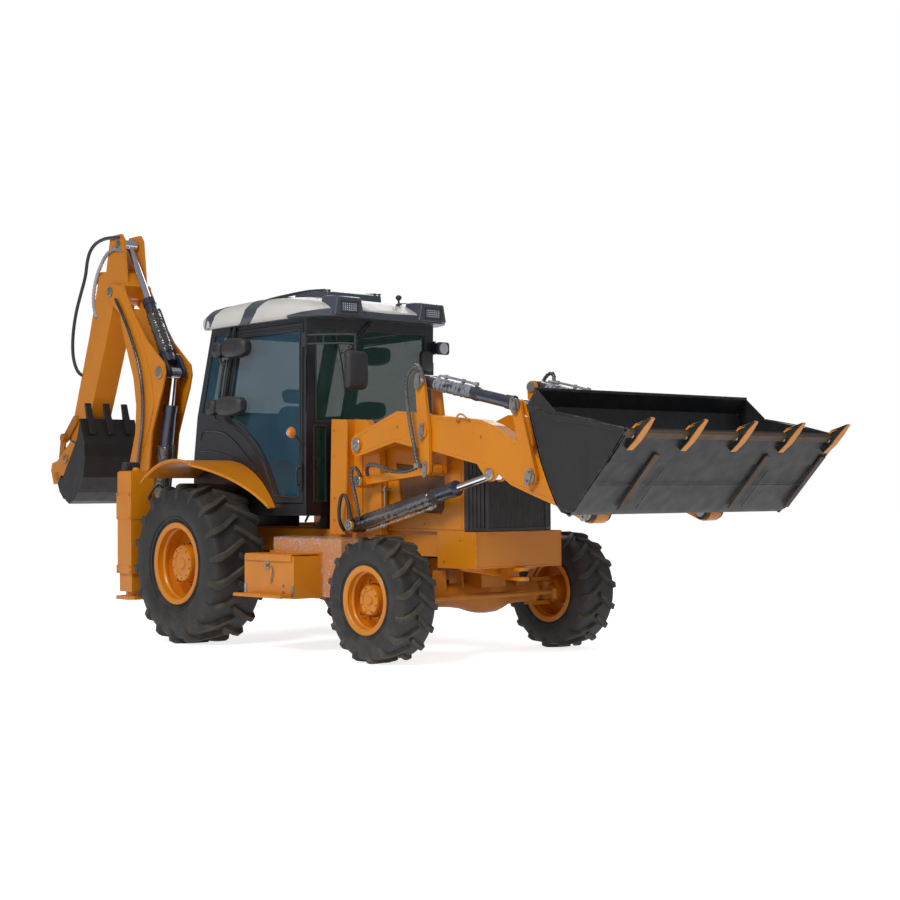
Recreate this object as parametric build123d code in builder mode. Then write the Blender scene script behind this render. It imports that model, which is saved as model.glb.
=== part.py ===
import os
from math import hypot

from build123d import *

# A backhoe loader in millimetres: +X forward, +Y to the driver's left, +Z up, ground at Z = 0.
# Stations along X are counted from the rear axle, and REAR_AXLE_X centres the whole box on X = 0.
REAR_AXLE_X = -1091.0
WHEELBASE = 2381.0

# General clearances
PIN_GAP = 0.5
SIDE_GAP = 5.0
SEAT_GAP = 0.3

# Wheels
REAR_TYRE_R = 653.0
REAR_TYRE_W = 510.0
REAR_TRACK_Y = 914.0
REAR_BEAD_R = 305.0
FRONT_TYRE_R = 452.0
FRONT_TYRE_W = 340.0
FRONT_TRACK_Y = 905.0
FRONT_BEAD_R = 222.0
KINGPIN_Y = 720.0
SPINDLE_R = 55.0

# Main frame
RAIL_Y = (330.0, 400.0)
RAIL_Z = (745.0, 930.0)
RAIL_X = (-720.0, WHEELBASE + 69.0)
NOSE_X = (WHEELBASE + 69.0, WHEELBASE + 479.0)
NOSE_HALF_W = 433.0
NOSE_Z = (665.0, 930.0)
TOW_PIN_R = 16.0
TOW_PIN_X = NOSE_X[1] + 35.0

# Hood and grille
HOOD_HALF_W = 430.0
HOOD_X = (1240.0, WHEELBASE + 369.0)
HOOD_BOTTOM_Z = 930.0
HOOD_FRONT_Z = 1490.0
HOOD_REAR_Z = 1740.0
SKIN = 12.0

# Loader linkage: side-view points (station, height) and the arm's plane
ARM_Y = 560.0
ARM_W = 110.0
ARM_PIVOT = (1743.0, 1580.0)
LINK_PIVOT = (1760.0, 1305.0)
REAR_LEVER_PIN = (2549.0, 1657.0)
REAR_LEVER_TOP = (2509.0, 2018.0)
FRONT_LEVER_PIN = (3660.0, 1314.0)
FRONT_LEVER_TOP = (3518.0, 1803.0)
BUCKET_PIN = (4185.0, 1075.0)
LINK_END = (LINK_PIVOT[0] + REAR_LEVER_PIN[0] - ARM_PIVOT[0],
            LINK_PIVOT[1] + REAR_LEVER_PIN[1] - ARM_PIVOT[1])
BUCKET_LINK_PIN = (BUCKET_PIN[0] + FRONT_LEVER_TOP[0] - FRONT_LEVER_PIN[0],
                   BUCKET_PIN[1] + FRONT_LEVER_TOP[1] - FRONT_LEVER_PIN[1])
LIFT_BASE = (1650.0, 973.0)
LIFT_EYE = (3225.0, 1340.0)
LOADER_PIN_R = 30.0
LEVER_PLATE = 25.0
BUCKET_HALF_W = 1080.0
BUCKET_SKIN = 14.0
TOOTH_LENGTH = 190.0

# Cab
CAB_HALF_W = 650.0
CAB_WALL = 30.0
CAB_FLOOR_Z = (1040.0, 1100.0)
CAB_FRONT_X = 1150.0
ROOF_Z = (2600.0, 2790.0)
ROOF_HALF_W = 750.0
DOOR_GAP = 6.0
DOOR_FRAME = 55.0
GLASS = 6.0
DOOR_HINGE_Y = 690.0

# Fenders
FENDER_R = 842.0
FENDER_SKIN = 18.0
FENDER_OUT_Y = 1150.0

# Side boxes
BOX_Z = (424.0, 745.0)
BOX_X = (863.0, 1515.0)
BOX_Y = (785.0, 1050.0)
BOX_WALL = 5.0
TANK_X = (880.0, 1750.0)
TANK_Y = (510.0, 780.0)
TANK_Z = (430.0, 868.0)

# Rear frame and stabilisers
POST_X = (-905.0, -680.0)
POST_Y = (925.0, 1150.0)
POST_Z = (550.0, 1410.0)
POST_WALL = 12.0
LEG_GAP = 0.5
FOOT_Z = (330.0, 400.0)
BEAM_X = (-900.0, -720.0)
BEAM_LOW_Z = (550.0, 700.0)
BEAM_HIGH_Z = (800.0, 950.0)

# Backhoe: side-view points at the boom's plane, which stands to the right of the middle
HOE_Y = -550.0
SWING_X = -1230.0
BOOM_FOOT = (-1530.0, 760.0)
BOOM_CYL_BASE = (-1215.0, 1012.0)
KNUCKLE = (-965.0, 2285.0)
DIPPER_PIN = (-1808.0, 3068.0)
DIPPER_TAIL = (-1725.0, 3495.0)
HOE_CYL_BASE = (-2140.0, 3235.0)
HOE_BUCKET_PIN = (-2580.0, 1560.0)
HOE_LINK_LOW = (-2760.0, 1400.0)
HOE_LINK_TOP = (-2690.0, 1760.0)
ROCKER_PIN = (HOE_BUCKET_PIN[0] + HOE_LINK_TOP[0] - HOE_LINK_LOW[0],
              HOE_BUCKET_PIN[1] + HOE_LINK_TOP[1] - HOE_LINK_LOW[1])
HOE_PIN_R = 26.0
BOOM_HALF_W = 150.0
BOOM_PLATE = 26.0
DIPPER_HALF_W = 110.0
HOE_BUCKET_HALF_W = 285.0
HOE_BUCKET_SKIN = 14.0

# Hydraulic cylinders: barrel radius, rod radius, barrel length from base pin to gland, rod length
CYLINDERS = {
    "lift": (52.0, 30.0, 1198.0, 1290.0),
    "tilt": (46.0, 25.0, 925.0, 935.0),
    "boom": (58.0, 34.0, 1010.0, 1155.0),
    "dipper": (55.0, 32.0, 800.0, 745.0),
    "hoe": (45.0, 28.0, 900.0, 1060.0),
}
BARREL_FLOOR = 80.0
GLAND_LIP = 6.0
GLAND_LENGTH = 60.0

os.makedirs("parts", exist_ok=True)


def save(builder, name):
    """Labels a finished piece and writes it."""
    builder.part.label = name
    export_step(builder.part, f"parts/{name}.step")


def at(point):
    """A side-view point (station, height) in the part's frame."""
    return (REAR_AXLE_X + point[0], point[1])


def toward(start, end, distance):
    """The point at a distance from start on the way to end."""
    span = hypot(end[0] - start[0], end[1] - start[1])
    share = distance / span
    return (start[0] + (end[0] - start[0]) * share, start[1] + (end[1] - start[1]) * share)


def side_plane(y):
    """The side view at y, facing -Y: local x is forward, local y is up."""
    return Plane.XZ.offset(-y)


def add_plate(outline, y_mid, thick, mode=Mode.ADD):
    """A flat plate with a side-view outline, centred on y_mid."""
    with BuildSketch(side_plane(y_mid)) as face:
        with BuildLine():
            Polyline(*[at(point) for point in outline], close=True)
        make_face()
    extrude(face.sketch, amount=thick / 2, both=True, mode=mode)


def add_round(point, y_mid, length, radius, mode=Mode.ADD):
    """A round bar across the machine: a pin, a boss or, when subtracted, a bore."""
    with BuildSketch(side_plane(y_mid)) as face:
        with Locations(at(point)):
            Circle(radius)
    extrude(face.sketch, amount=length / 2, both=True, mode=mode)


def add_link(ends, y_mid, thick, mode=Mode.ADD):
    """A plate that wraps circles, each a (point, radius) pair."""
    with BuildSketch(side_plane(y_mid)) as face:
        for point, radius in ends:
            with Locations(at(point)):
                Circle(radius)
        make_hull()
    extrude(face.sketch, amount=thick / 2, both=True, mode=mode)


def add_rod(start, end, y, radius, mode=Mode.ADD):
    """A round bar between two side-view points in the plane at y."""
    (x0, z0), (x1, z1) = at(start), at(end)
    with BuildSketch(Plane(origin=(x0, y, z0), z_dir=(x1 - x0, 0, z1 - z0))) as face:
        Circle(radius)
    extrude(face.sketch, amount=hypot(x1 - x0, z1 - z0), mode=mode)


def add_box(x, y, z, mode=Mode.ADD):
    """A box from (low, high) pairs, with x as stations."""
    centre = (REAR_AXLE_X + (x[0] + x[1]) / 2, (y[0] + y[1]) / 2, (z[0] + z[1]) / 2)
    with Locations(centre):
        Box(abs(x[1] - x[0]), abs(y[1] - y[0]), abs(z[1] - z[0]), mode=mode)


def add_cross_bar(centre, y, radius, mode=Mode.ADD):
    """A round bar along Y from y[0] to y[1] at a side-view point."""
    add_round(centre, (y[0] + y[1]) / 2, abs(y[1] - y[0]), radius, mode)


def strip(path, thick):
    """The closed outline of a strip that follows an open path, thick to its left."""
    inner = []
    last = len(path) - 1
    for index, (x, z) in enumerate(path):
        before = path[max(index - 1, 0)]
        after = path[min(index + 1, last)]
        here = (x, z)
        normals = []
        for a, b in ((before, here), (here, after)):
            length = hypot(b[0] - a[0], b[1] - a[1])
            if length > 0:
                normals.append((-(b[1] - a[1]) / length, (b[0] - a[0]) / length))
        nx = sum(n[0] for n in normals) / len(normals)
        nz = sum(n[1] for n in normals) / len(normals)
        scale = thick / (nx * nx + nz * nz)
        inner.append((x + nx * scale, z + nz * scale))
    return list(path) + inner[::-1]


# Wheels
# name, station of the axle, sign of Y, tyre radius, tyre width, bead radius, track
WHEELS = (
    ("rear_right", 0.0, -1, REAR_TYRE_R, REAR_TYRE_W, REAR_BEAD_R, REAR_TRACK_Y),
    ("rear_left", 0.0, 1, REAR_TYRE_R, REAR_TYRE_W, REAR_BEAD_R, REAR_TRACK_Y),
    ("front_right", WHEELBASE, -1, FRONT_TYRE_R, FRONT_TYRE_W, FRONT_BEAD_R, FRONT_TRACK_Y),
    ("front_left", WHEELBASE, 1, FRONT_TYRE_R, FRONT_TYRE_W, FRONT_BEAD_R, FRONT_TRACK_Y),
)
RIM_FLANGE = 30.0
RIM_SKIN = 14.0
RIM_DISC = 22.0


def turned(station, wheel_z, outline):
    """A solid of revolution about a wheel's axis from (y, radius) points."""
    x = REAR_AXLE_X + station
    with BuildSketch(Plane.YZ.offset(x)) as section:
        with BuildLine():
            Polyline(*[(y, wheel_z + radius) for y, radius in outline], close=True)
        make_face()
    revolve(section.sketch, axis=Axis((x, 0, wheel_z), (0, 1, 0)))


for name, station, side, radius, width, bead, track in WHEELS:
    middle = side * track
    half = width / 2
    wall = radius - bead
    with BuildPart() as tyre:
        turned(station, radius, [
            (middle - 0.80 * half, bead + SEAT_GAP),
            (middle - 0.80 * half, bead + RIM_FLANGE + SEAT_GAP),
            (middle - 0.96 * half, bead + 0.25 * wall),
            (middle - half, bead + 0.50 * wall),
            (middle - 0.97 * half, bead + 0.78 * wall),
            (middle - 0.84 * half, radius),
            (middle + 0.84 * half, radius),
            (middle + 0.97 * half, bead + 0.78 * wall),
            (middle + half, bead + 0.50 * wall),
            (middle + 0.96 * half, bead + 0.25 * wall),
            (middle + 0.80 * half, bead + RIM_FLANGE + SEAT_GAP),
            (middle + 0.80 * half, bead + SEAT_GAP),
        ])
    save(tyre, f"tyre_{name}")

    rim_half = 0.80 * half + RIM_SKIN
    disc_y = middle + side * 0.12 * half
    hub_in = side * (KINGPIN_Y + 75.0 if "front" in name else 640.0)
    hub_out = middle + side * 0.62 * half
    hub_r = 0.52 * bead
    with BuildPart() as rim:
        for sign in (-1, 1):
            turned(station, radius, [
                (middle + sign * (0.80 * half + SEAT_GAP), bead - RIM_SKIN),
                (middle + sign * (0.80 * half + SEAT_GAP), bead + RIM_FLANGE),
                (middle + sign * rim_half, bead + RIM_FLANGE),
                (middle + sign * rim_half, bead - RIM_SKIN),
            ])
        turned(station, radius, [
            (middle - rim_half, bead - RIM_SKIN),
            (middle - rim_half, bead),
            (middle + rim_half, bead),
            (middle + rim_half, bead - RIM_SKIN),
        ])
        turned(station, radius, [
            (disc_y - RIM_DISC / 2, SPINDLE_R + PIN_GAP),
            (disc_y - RIM_DISC / 2, bead - 1.0),
            (disc_y + RIM_DISC / 2, bead - 1.0),
            (disc_y + RIM_DISC / 2, SPINDLE_R + PIN_GAP),
        ])
        turned(station, radius, [
            (hub_in, SPINDLE_R + PIN_GAP),
            (hub_in, 0.80 * hub_r),
            (disc_y, hub_r),
            (hub_out, 0.92 * hub_r),
            (hub_out, 0.0),
            (hub_out - side * 30.0, 0.0),
            (hub_out - side * 30.0, SPINDLE_R + PIN_GAP),
        ])
    save(rim, f"rim_{name}")

# Axles
REAR_AXLE_TUBE_R = 85.0
REAR_SPINDLE_END = REAR_TRACK_Y + 0.62 * REAR_TYRE_W / 2 - 40.0
with BuildPart() as rear_axle:
    centre = (0.0, REAR_TYRE_R)
    add_round(centre, 0.0, 2 * 620.0, REAR_AXLE_TUBE_R)
    add_round(centre, 0.0, 2 * REAR_SPINDLE_END, SPINDLE_R)
    add_round(centre, 0.0, 220.0, 175.0)
    for side in (-1, 1):
        add_round(centre, side * 560.0, 120.0, 150.0)
        add_box((-90.0, 90.0), (side * RAIL_Y[0], side * RAIL_Y[1]), (REAR_TYRE_R + 40.0, RAIL_Z[0]))
save(rear_axle, "rear_axle")

FRONT_BEAM_R = 78.0
FORK_DEPTH = 135.0
EAR_Z = (76.0, 106.0)
KINGPIN_R = 24.0
with BuildPart() as front_axle:
    centre = (WHEELBASE, FRONT_TYRE_R)
    fork_in = KINGPIN_Y - FORK_DEPTH
    add_round(centre, 0.0, 2 * fork_in, FRONT_BEAM_R)
    add_round((WHEELBASE, FRONT_TYRE_R), 90.0, 200.0, 130.0)
    add_box((WHEELBASE - 40.0, WHEELBASE + 200.0), (-120.0, 120.0), (FRONT_TYRE_R + 60.0, NOSE_Z[0]))
    add_box((WHEELBASE - 60.0, WHEELBASE + 60.0), (-110.0, 110.0), (FRONT_TYRE_R, FRONT_TYRE_R + 80.0))
    for side in (-1, 1):
        add_box((WHEELBASE - 45.0, WHEELBASE + 45.0),
                (side * (fork_in - 45.0), side * fork_in),
                (FRONT_TYRE_R - EAR_Z[1], FRONT_TYRE_R + EAR_Z[1]))
        for sign in (-1, 1):
            low, high = sorted((FRONT_TYRE_R + sign * EAR_Z[0], FRONT_TYRE_R + sign * EAR_Z[1]))
            add_box((WHEELBASE - 45.0, WHEELBASE + 45.0), (side * (fork_in - 20.0), side * KINGPIN_Y),
                    (low, high))
            with Locations((REAR_AXLE_X + WHEELBASE, side * KINGPIN_Y, (low + high) / 2)):
                Cylinder(45.0, high - low)
                Cylinder(KINGPIN_R + PIN_GAP, high - low, mode=Mode.SUBTRACT)
save(front_axle, "front_axle")

STEER_ARM = 165.0
for name, side in (("right", -1), ("left", 1)):
    with BuildPart() as knuckle:
        with Locations((REAR_AXLE_X + WHEELBASE, side * KINGPIN_Y, FRONT_TYRE_R)):
            Cylinder(52.0, 2 * (EAR_Z[0] - SIDE_GAP))
            Cylinder(KINGPIN_R, 2 * EAR_Z[1])
        spindle_end = side * (FRONT_TRACK_Y + 0.62 * FRONT_TYRE_W / 2 - 40.0)
        add_cross_bar((WHEELBASE, FRONT_TYRE_R), (side * KINGPIN_Y, spindle_end), SPINDLE_R)
        with BuildSketch(Plane.XY.offset(FRONT_TYRE_R - 55.0)) as arm:
            for ahead, out, r in ((0.0, 0.0, 40.0), (STEER_ARM, 60.0, 24.0)):
                with Locations((REAR_AXLE_X + WHEELBASE + ahead, side * (KINGPIN_Y - out))):
                    Circle(r)
            make_hull()
        extrude(arm.sketch, amount=25.0)
    save(knuckle, f"knuckle_{name}")

with BuildPart() as tie_rod:
    rod_z = FRONT_TYRE_R - 55.0 + 25.0 + 25.3
    x = WHEELBASE + STEER_ARM
    add_round((x, rod_z), 0.0, 2 * (KINGPIN_Y - 60.0), 18.0)
    for side in (-1, 1):
        with Locations((REAR_AXLE_X + x, side * (KINGPIN_Y - 60.0), rod_z)):
            Cylinder(26.0, 2 * 25.0)
save(tie_rod, "tie_rod")

# Main frame: rails, cross members, nose, loader towers
TOWER_Y = (440.0, 500.0)
TOWER = [(1335.0, 900.0), (1365.0, 1790.0), (1700.0, 1775.0), (1850.0, 1650.0), (1880.0, 1250.0),
         (1880.0, 900.0)]
TOWER_COLUMN = [(1335.0, 900.0), (1365.0, 1790.0), (1560.0, 1780.0), (1530.0, 900.0)]
COLUMN_Y = 575.0
PIN_HEAD_R = 48.0
PIN_HEAD = 14.0
with BuildPart() as main_frame:
    for side in (-1, 1):
        add_box(RAIL_X, (side * RAIL_Y[0], side * RAIL_Y[1]), RAIL_Z)
        add_plate(TOWER, side * (TOWER_Y[0] + TOWER_Y[1]) / 2, TOWER_Y[1] - TOWER_Y[0])
        add_plate(TOWER_COLUMN, side * (TOWER_Y[1] + COLUMN_Y) / 2, COLUMN_Y - TOWER_Y[1] + 2.0)
        add_box((1380.0, 1800.0), (side * (RAIL_Y[1] - 5.0), side * TOWER_Y[1]), (870.0, 905.0))
        for point, radius in ((ARM_PIVOT, LOADER_PIN_R + 4.0), (LINK_PIVOT, LOADER_PIN_R),
                              (LIFT_BASE, LOADER_PIN_R)):
            outer = ARM_Y + ARM_W / 2 + SIDE_GAP + PIN_HEAD
            add_cross_bar(point, (side * TOWER_Y[1], side * outer), radius)
            add_cross_bar(point, (side * (outer - PIN_HEAD), side * outer), PIN_HEAD_R)
    for station in (-500.0, 250.0, 1330.0, WHEELBASE - 81.0):
        add_box((station, station + 80.0), (-RAIL_Y[0] - 5.0, RAIL_Y[0] + 5.0),
                (RAIL_Z[0] + 60.0, RAIL_Z[1]))
    add_box(NOSE_X, (-NOSE_HALF_W, NOSE_HALF_W), NOSE_Z)
    for low in (NOSE_Z[0] - 95.0, NOSE_Z[0] - 25.0):
        with BuildSketch(Plane.XY.offset(low)) as lug:
            with Locations((REAR_AXLE_X + NOSE_X[1] - 55.0, 0)):
                Rectangle(150.0, 110.0)
            with Locations((REAR_AXLE_X + TOW_PIN_X, 0)):
                Circle(48.0)
            with Locations((REAR_AXLE_X + (NOSE_X[1] + TOW_PIN_X) / 2, 0)):
                Rectangle(TOW_PIN_X - NOSE_X[1], 96.0)
        extrude(lug.sketch, amount=25.0)
    add_box((NOSE_X[1] - 130.0, NOSE_X[1] - 60.0), (-55.0, 55.0), (NOSE_Z[0] - 95.0, NOSE_Z[0]))
    with Locations((REAR_AXLE_X + TOW_PIN_X, 0, NOSE_Z[0] - 47.5)):
        Cylinder(TOW_PIN_R, 200.0, mode=Mode.SUBTRACT)
save(main_frame, "main_frame")

# Hood: a skin over the engine, open below and at the grille
with BuildPart() as hood:
    profile = [(HOOD_X[0], HOOD_BOTTOM_Z), (HOOD_X[0], HOOD_REAR_Z), (HOOD_X[1], HOOD_FRONT_Z),
               (HOOD_X[1], HOOD_BOTTOM_Z)]
    add_plate(profile, 0.0, 2 * HOOD_HALF_W)
    top_edges = hood.edges().filter_by(lambda e: abs(e.tangent_at(0.5).Y) < 0.01 and e.center().Z > 1550)
    fillet([e for e in top_edges if e.length > 1000], radius=80.0)
    inner = [(HOOD_X[0] + SKIN, HOOD_BOTTOM_Z - 1), (HOOD_X[0] + SKIN, HOOD_REAR_Z - 4 * SKIN),
             (HOOD_X[1] + 1, HOOD_FRONT_Z - 4 * SKIN), (HOOD_X[1] + 1, HOOD_BOTTOM_Z - 1)]
    add_plate(inner, 0.0, 2 * (HOOD_HALF_W - SKIN), Mode.SUBTRACT)
    VENT = [(1975.0, 1440.0), (2035.0, 1150.0), (2090.0, 1075.0), (2500.0, 1060.0), (2530.0, 1100.0),
            (2530.0, 1380.0)]
    add_plate(VENT, 0.0, 2 * HOOD_HALF_W + 10.0, Mode.SUBTRACT)
save(hood, "hood")

with BuildPart() as grille:
    front, back = HOOD_X[1] + 85.0, HOOD_X[1] + 55.0
    plan = [(HOOD_X[1], -HOOD_HALF_W), (front, -290.0), (front, 290.0), (HOOD_X[1], HOOD_HALF_W),
            (HOOD_X[1], HOOD_HALF_W - 40.0), (back, 270.0), (back, -270.0), (HOOD_X[1], 40.0 - HOOD_HALF_W)]
    with BuildSketch(Plane.XY.offset(NOSE_Z[1])) as ring:
        with BuildLine():
            Polyline(*[(REAR_AXLE_X + x, y) for x, y in plan], close=True)
        make_face()
    extrude(ring.sketch, amount=HOOD_FRONT_Z - 20.0 - NOSE_Z[1])
save(grille, "grille")

# Engine, gearbox and drive shafts as one plain mass
with BuildPart() as drivetrain:
    add_box((1420.0, 2150.0), (-250.0, 250.0), (720.0, 1420.0))
    add_box((2140.0, 2290.0), (-300.0, 300.0), (960.0, 1380.0))
    add_box((1500.0, 1620.0), (-RAIL_Y[0], RAIL_Y[0]), (780.0, 880.0))
    add_box((1950.0, 2070.0), (-RAIL_Y[0], RAIL_Y[0]), (780.0, 880.0))
    add_box((520.0, 1420.0), (-200.0, 200.0), (560.0, 740.0))
    add_box((560.0, 1200.0), (-200.0, 200.0), (700.0, 900.0))
    add_rod((530.0, REAR_TYRE_R), (176.0, REAR_TYRE_R), 0.0, 38.0)
    add_rod((1400.0, 610.0), (WHEELBASE - 160.0, FRONT_TYRE_R), 90.0, 34.0)
save(drivetrain, "drivetrain")

# Cab
def door_outline(inset):
    """The right door's outline, moved inward by inset, as a sketch in side view at Y = 0."""
    with BuildSketch(side_plane(0.0)) as face:
        with BuildLine():
            Polyline(at((720.0, 1139.0)), at((1088.0, 1139.0)), at((1100.0, 2560.0)), at((180.0, 2560.0)),
                     at((-10.0, 1853.0)), at((60.0, 1795.0)))
            ThreePointArc(at((60.0, 1795.0)), at((455.0, 1550.0)), at((720.0, 1139.0)))
        make_face()
        if inset:
            offset(amount=-inset)
    return face.sketch


HINGES = ((-10.0, 1940.0), (130.0, 2420.0))
HINGE_HALF = 40.0
HINGE_R = 24.0
HINGE_PIN_R = 9.0
HINGE_DEPTH = DOOR_HINGE_Y - CAB_HALF_W + 4.0
HINGE_DIRECTION = (HINGES[1][0] - HINGES[0][0], HINGES[1][1] - HINGES[0][1])


def hinge_plane(point, side, offset):
    """The plane across a slanted door hinge at a distance along it, with local x forward."""
    run = hypot(*HINGE_DIRECTION)
    ux, uz = HINGE_DIRECTION[0] / run, HINGE_DIRECTION[1] / run
    origin = (REAR_AXLE_X + point[0] + ux * offset, side * DOOR_HINGE_Y, point[1] + uz * offset)
    return Plane(origin=origin, x_dir=(uz, 0, -ux), z_dir=(ux, 0, uz))


def add_hinge_rod(point, side, span, radius, mode=Mode.ADD):
    """A round bar along a door hinge between two distances from its middle."""
    with BuildSketch(hinge_plane(point, side, span[0])) as face:
        Circle(radius)
    extrude(face.sketch, amount=span[1] - span[0], mode=mode)


def add_hinge_arm(point, side, span, reach, depth):
    """A flat arm from a door hinge, reach being its ends along the wall and depth its run inboard."""
    with BuildSketch(hinge_plane(point, side, span[0])) as face:
        with Locations((sum(reach) / 2, -side * depth / 2)):
            Rectangle(reach[1] - reach[0], depth)
    extrude(face.sketch, amount=span[1] - span[0])


SIDE_WALL = [(1125.0, CAB_FLOOR_Z[0]), (CAB_FRONT_X, ROOF_Z[0]), (-200.0, ROOF_Z[0]),
             (-430.0, 1870.0), (-490.0, 1480.0), (-490.0, CAB_FLOOR_Z[0])]
QUARTER = [(90.0, 2540.0), (-150.0, 2540.0), (-350.0, 1900.0), (-85.0, 1900.0)]
SCREEN_Z = (1790.0, 2520.0)
WALL_MID = CAB_HALF_W - CAB_WALL / 2
with BuildPart() as cab_frame:
    for side in (-1, 1):
        add_plate(SIDE_WALL, side * WALL_MID, CAB_WALL)
    inner = CAB_HALF_W - CAB_WALL
    add_box((-490.0, 1125.0), (-inner - 1.0, inner + 1.0), CAB_FLOOR_Z)
    front = [(1125.0, CAB_FLOOR_Z[0]), (CAB_FRONT_X, ROOF_Z[0]), (CAB_FRONT_X - 45.0, ROOF_Z[0]),
             (1080.0, CAB_FLOOR_Z[0])]
    add_plate(front, 0.0, 2 * inner + 2.0)
    rear = strip([(-200.0, ROOF_Z[0]), (-430.0, 1870.0), (-490.0, 1480.0), (-490.0, CAB_FLOOR_Z[0])], 40.0)
    add_plate(rear, 0.0, 2 * inner + 2.0)
    add_box((-200.0, CAB_FRONT_X), (-inner - 1.0, inner + 1.0), (ROOF_Z[0] - 40.0, ROOF_Z[0]))
    add_box((-150.0, 1050.0), (-inner + 50.0, inner - 50.0), (ROOF_Z[0] - 41.0, ROOF_Z[0] + 1.0),
            Mode.SUBTRACT)
    # windscreen, lower front lights, rear window
    add_box((1000.0, 1200.0), (-560.0, 560.0), SCREEN_Z, Mode.SUBTRACT)
    for side in (-1, 1):
        add_box((1000.0, 1200.0), (side * 460.0, side * 575.0), (1150.0, 1750.0), Mode.SUBTRACT)
        opening = door_outline(-DOOR_GAP).moved(Location((0, side * (inner - SIDE_GAP), 0)))
        extrude(opening, amount=-side * (CAB_WALL + 2 * SIDE_GAP), mode=Mode.SUBTRACT)
        add_plate(QUARTER, side * WALL_MID, CAB_WALL + 10.0, Mode.SUBTRACT)
    add_box((-600.0, -60.0), (-540.0, 540.0), (1920.0, 2540.0), Mode.SUBTRACT)
    for side in (-1, 1):
        for point in HINGES:
            add_hinge_rod(point, side, (-HINGE_HALF - 24.0, HINGE_HALF + 24.0), HINGE_PIN_R)
            for low, high in ((-HINGE_HALF - 24.0, -HINGE_HALF - 4.0),
                              (HINGE_HALF + 4.0, HINGE_HALF + 24.0)):
                add_hinge_rod(point, side, (low, high), HINGE_R)
                add_hinge_arm(point, side, (low, high), (-55.0, 0.0), HINGE_DEPTH)
    add_box((-490.0, -410.0), (-RAIL_Y[1], RAIL_Y[1]), (RAIL_Z[1], CAB_FLOOR_Z[0]))
    add_box((980.0, 1060.0), (-RAIL_Y[1], RAIL_Y[1]), (RAIL_Z[1], CAB_FLOOR_Z[0]))
save(cab_frame, "cab_frame")

for name, side in (("right", -1), ("left", 1)):
    with BuildPart() as door:
        leaf = door_outline(0.0).moved(Location((0, side * (CAB_HALF_W - CAB_WALL), 0)))
        extrude(leaf, amount=-side * CAB_WALL)
        light = door_outline(DOOR_FRAME).moved(Location((0, side * (CAB_HALF_W - CAB_WALL - SIDE_GAP), 0)))
        extrude(light, amount=-side * (CAB_WALL + 2 * SIDE_GAP), mode=Mode.SUBTRACT)
        for point in HINGES:
            add_hinge_rod(point, side, (-HINGE_HALF, HINGE_HALF), HINGE_R)
            add_hinge_arm(point, side, (-HINGE_HALF, HINGE_HALF), (0.0, 85.0), HINGE_DEPTH - 9.0)
            add_hinge_arm(point, side, (-HINGE_HALF, HINGE_HALF), (50.0, 85.0), HINGE_DEPTH)
            add_hinge_rod(point, side, (-HINGE_HALF, HINGE_HALF), HINGE_PIN_R + PIN_GAP, Mode.SUBTRACT)
    save(door, f"door_{name}")
    with BuildPart() as pane:
        light = door_outline(DOOR_FRAME + SEAT_GAP).moved(Location((0, side * (CAB_HALF_W - GLASS - 8.0),
                                                                    0)))
        extrude(light, amount=-side * GLASS)
    save(pane, f"door_glass_{name}")


def inset_quad(points, gap):
    """A convex outline drawn inward toward its middle by roughly a gap."""
    mx = sum(p[0] for p in points) / len(points)
    mz = sum(p[1] for p in points) / len(points)
    return [toward(p, (mx, mz), 2 * gap) for p in points]


def screen_x(z):
    """The windscreen's outer face at a height."""
    return 1125.0 + (CAB_FRONT_X - 1125.0) * (z - CAB_FLOOR_Z[0]) / (ROOF_Z[0] - CAB_FLOOR_Z[0])


def screen_pane(low, high):
    """The side-view outline of a front pane between two heights."""
    low, high = low + SEAT_GAP, high - SEAT_GAP
    return [(screen_x(low) - 14.0, low), (screen_x(high) - 14.0, high),
            (screen_x(high) - 8.0, high), (screen_x(low) - 8.0, low)]


with BuildPart() as cab_glass:
    add_plate(screen_pane(*SCREEN_Z), 0.0, 2 * (560.0 - SEAT_GAP))
    rear_low, rear_high = 1920.0 + SEAT_GAP, 2540.0 - SEAT_GAP
    slope = (-200.0 + 430.0) / (ROOF_Z[0] - 1870.0)
    rear_at = [(-430.0 + slope * (z - 1870.0), z) for z in (rear_low, rear_high)]
    add_plate([(rear_at[0][0] + 10.0, rear_low), (rear_at[1][0] + 10.0, rear_high),
               (rear_at[1][0] + 17.0, rear_high), (rear_at[0][0] + 17.0,
                                                   rear_low)], 0.0, 2 * (540.0 - SEAT_GAP))
    for side in (-1, 1):
        add_plate(screen_pane(1150.0, 1750.0), side * 517.5, 115.0 - 2 * SEAT_GAP)
        add_plate(inset_quad(QUARTER, SEAT_GAP), side * (CAB_HALF_W - 11.0), GLASS)
save(cab_glass, "cab_glass")

ROOF_SIDE = [(-330.0, 2600.0), (1240.0, 2600.0), (1350.0, 2640.0), (1345.0, 2690.0), (1150.0, 2760.0),
             (500.0, 2790.0), (-200.0, 2775.0), (-460.0, 2735.0), (-460.0, 2690.0)]
ROOF_FRONT = [(-750.0, 2600.0), (-750.0, 2670.0), (-600.0, 2790.0), (600.0, 2790.0), (750.0, 2670.0),
              (750.0, 2600.0)]
with BuildPart() as cab_roof:
    add_plate(ROOF_SIDE, 0.0, 2 * ROOF_HALF_W)
    with BuildSketch(Plane.YZ) as section:
        with BuildLine():
            Polyline(*ROOF_FRONT, close=True)
        make_face()
    extrude(section.sketch, amount=3000.0, both=True, mode=Mode.INTERSECT)
    add_box((150.0, 750.0), (-300.0, 300.0), (2760.0, 2830.0))
    for side in (-1, 1):
        add_box((1180.0, 1370.0), (side * 440.0, side * 700.0), (2615.0, 2735.0))
save(cab_roof, "cab_roof")

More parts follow.
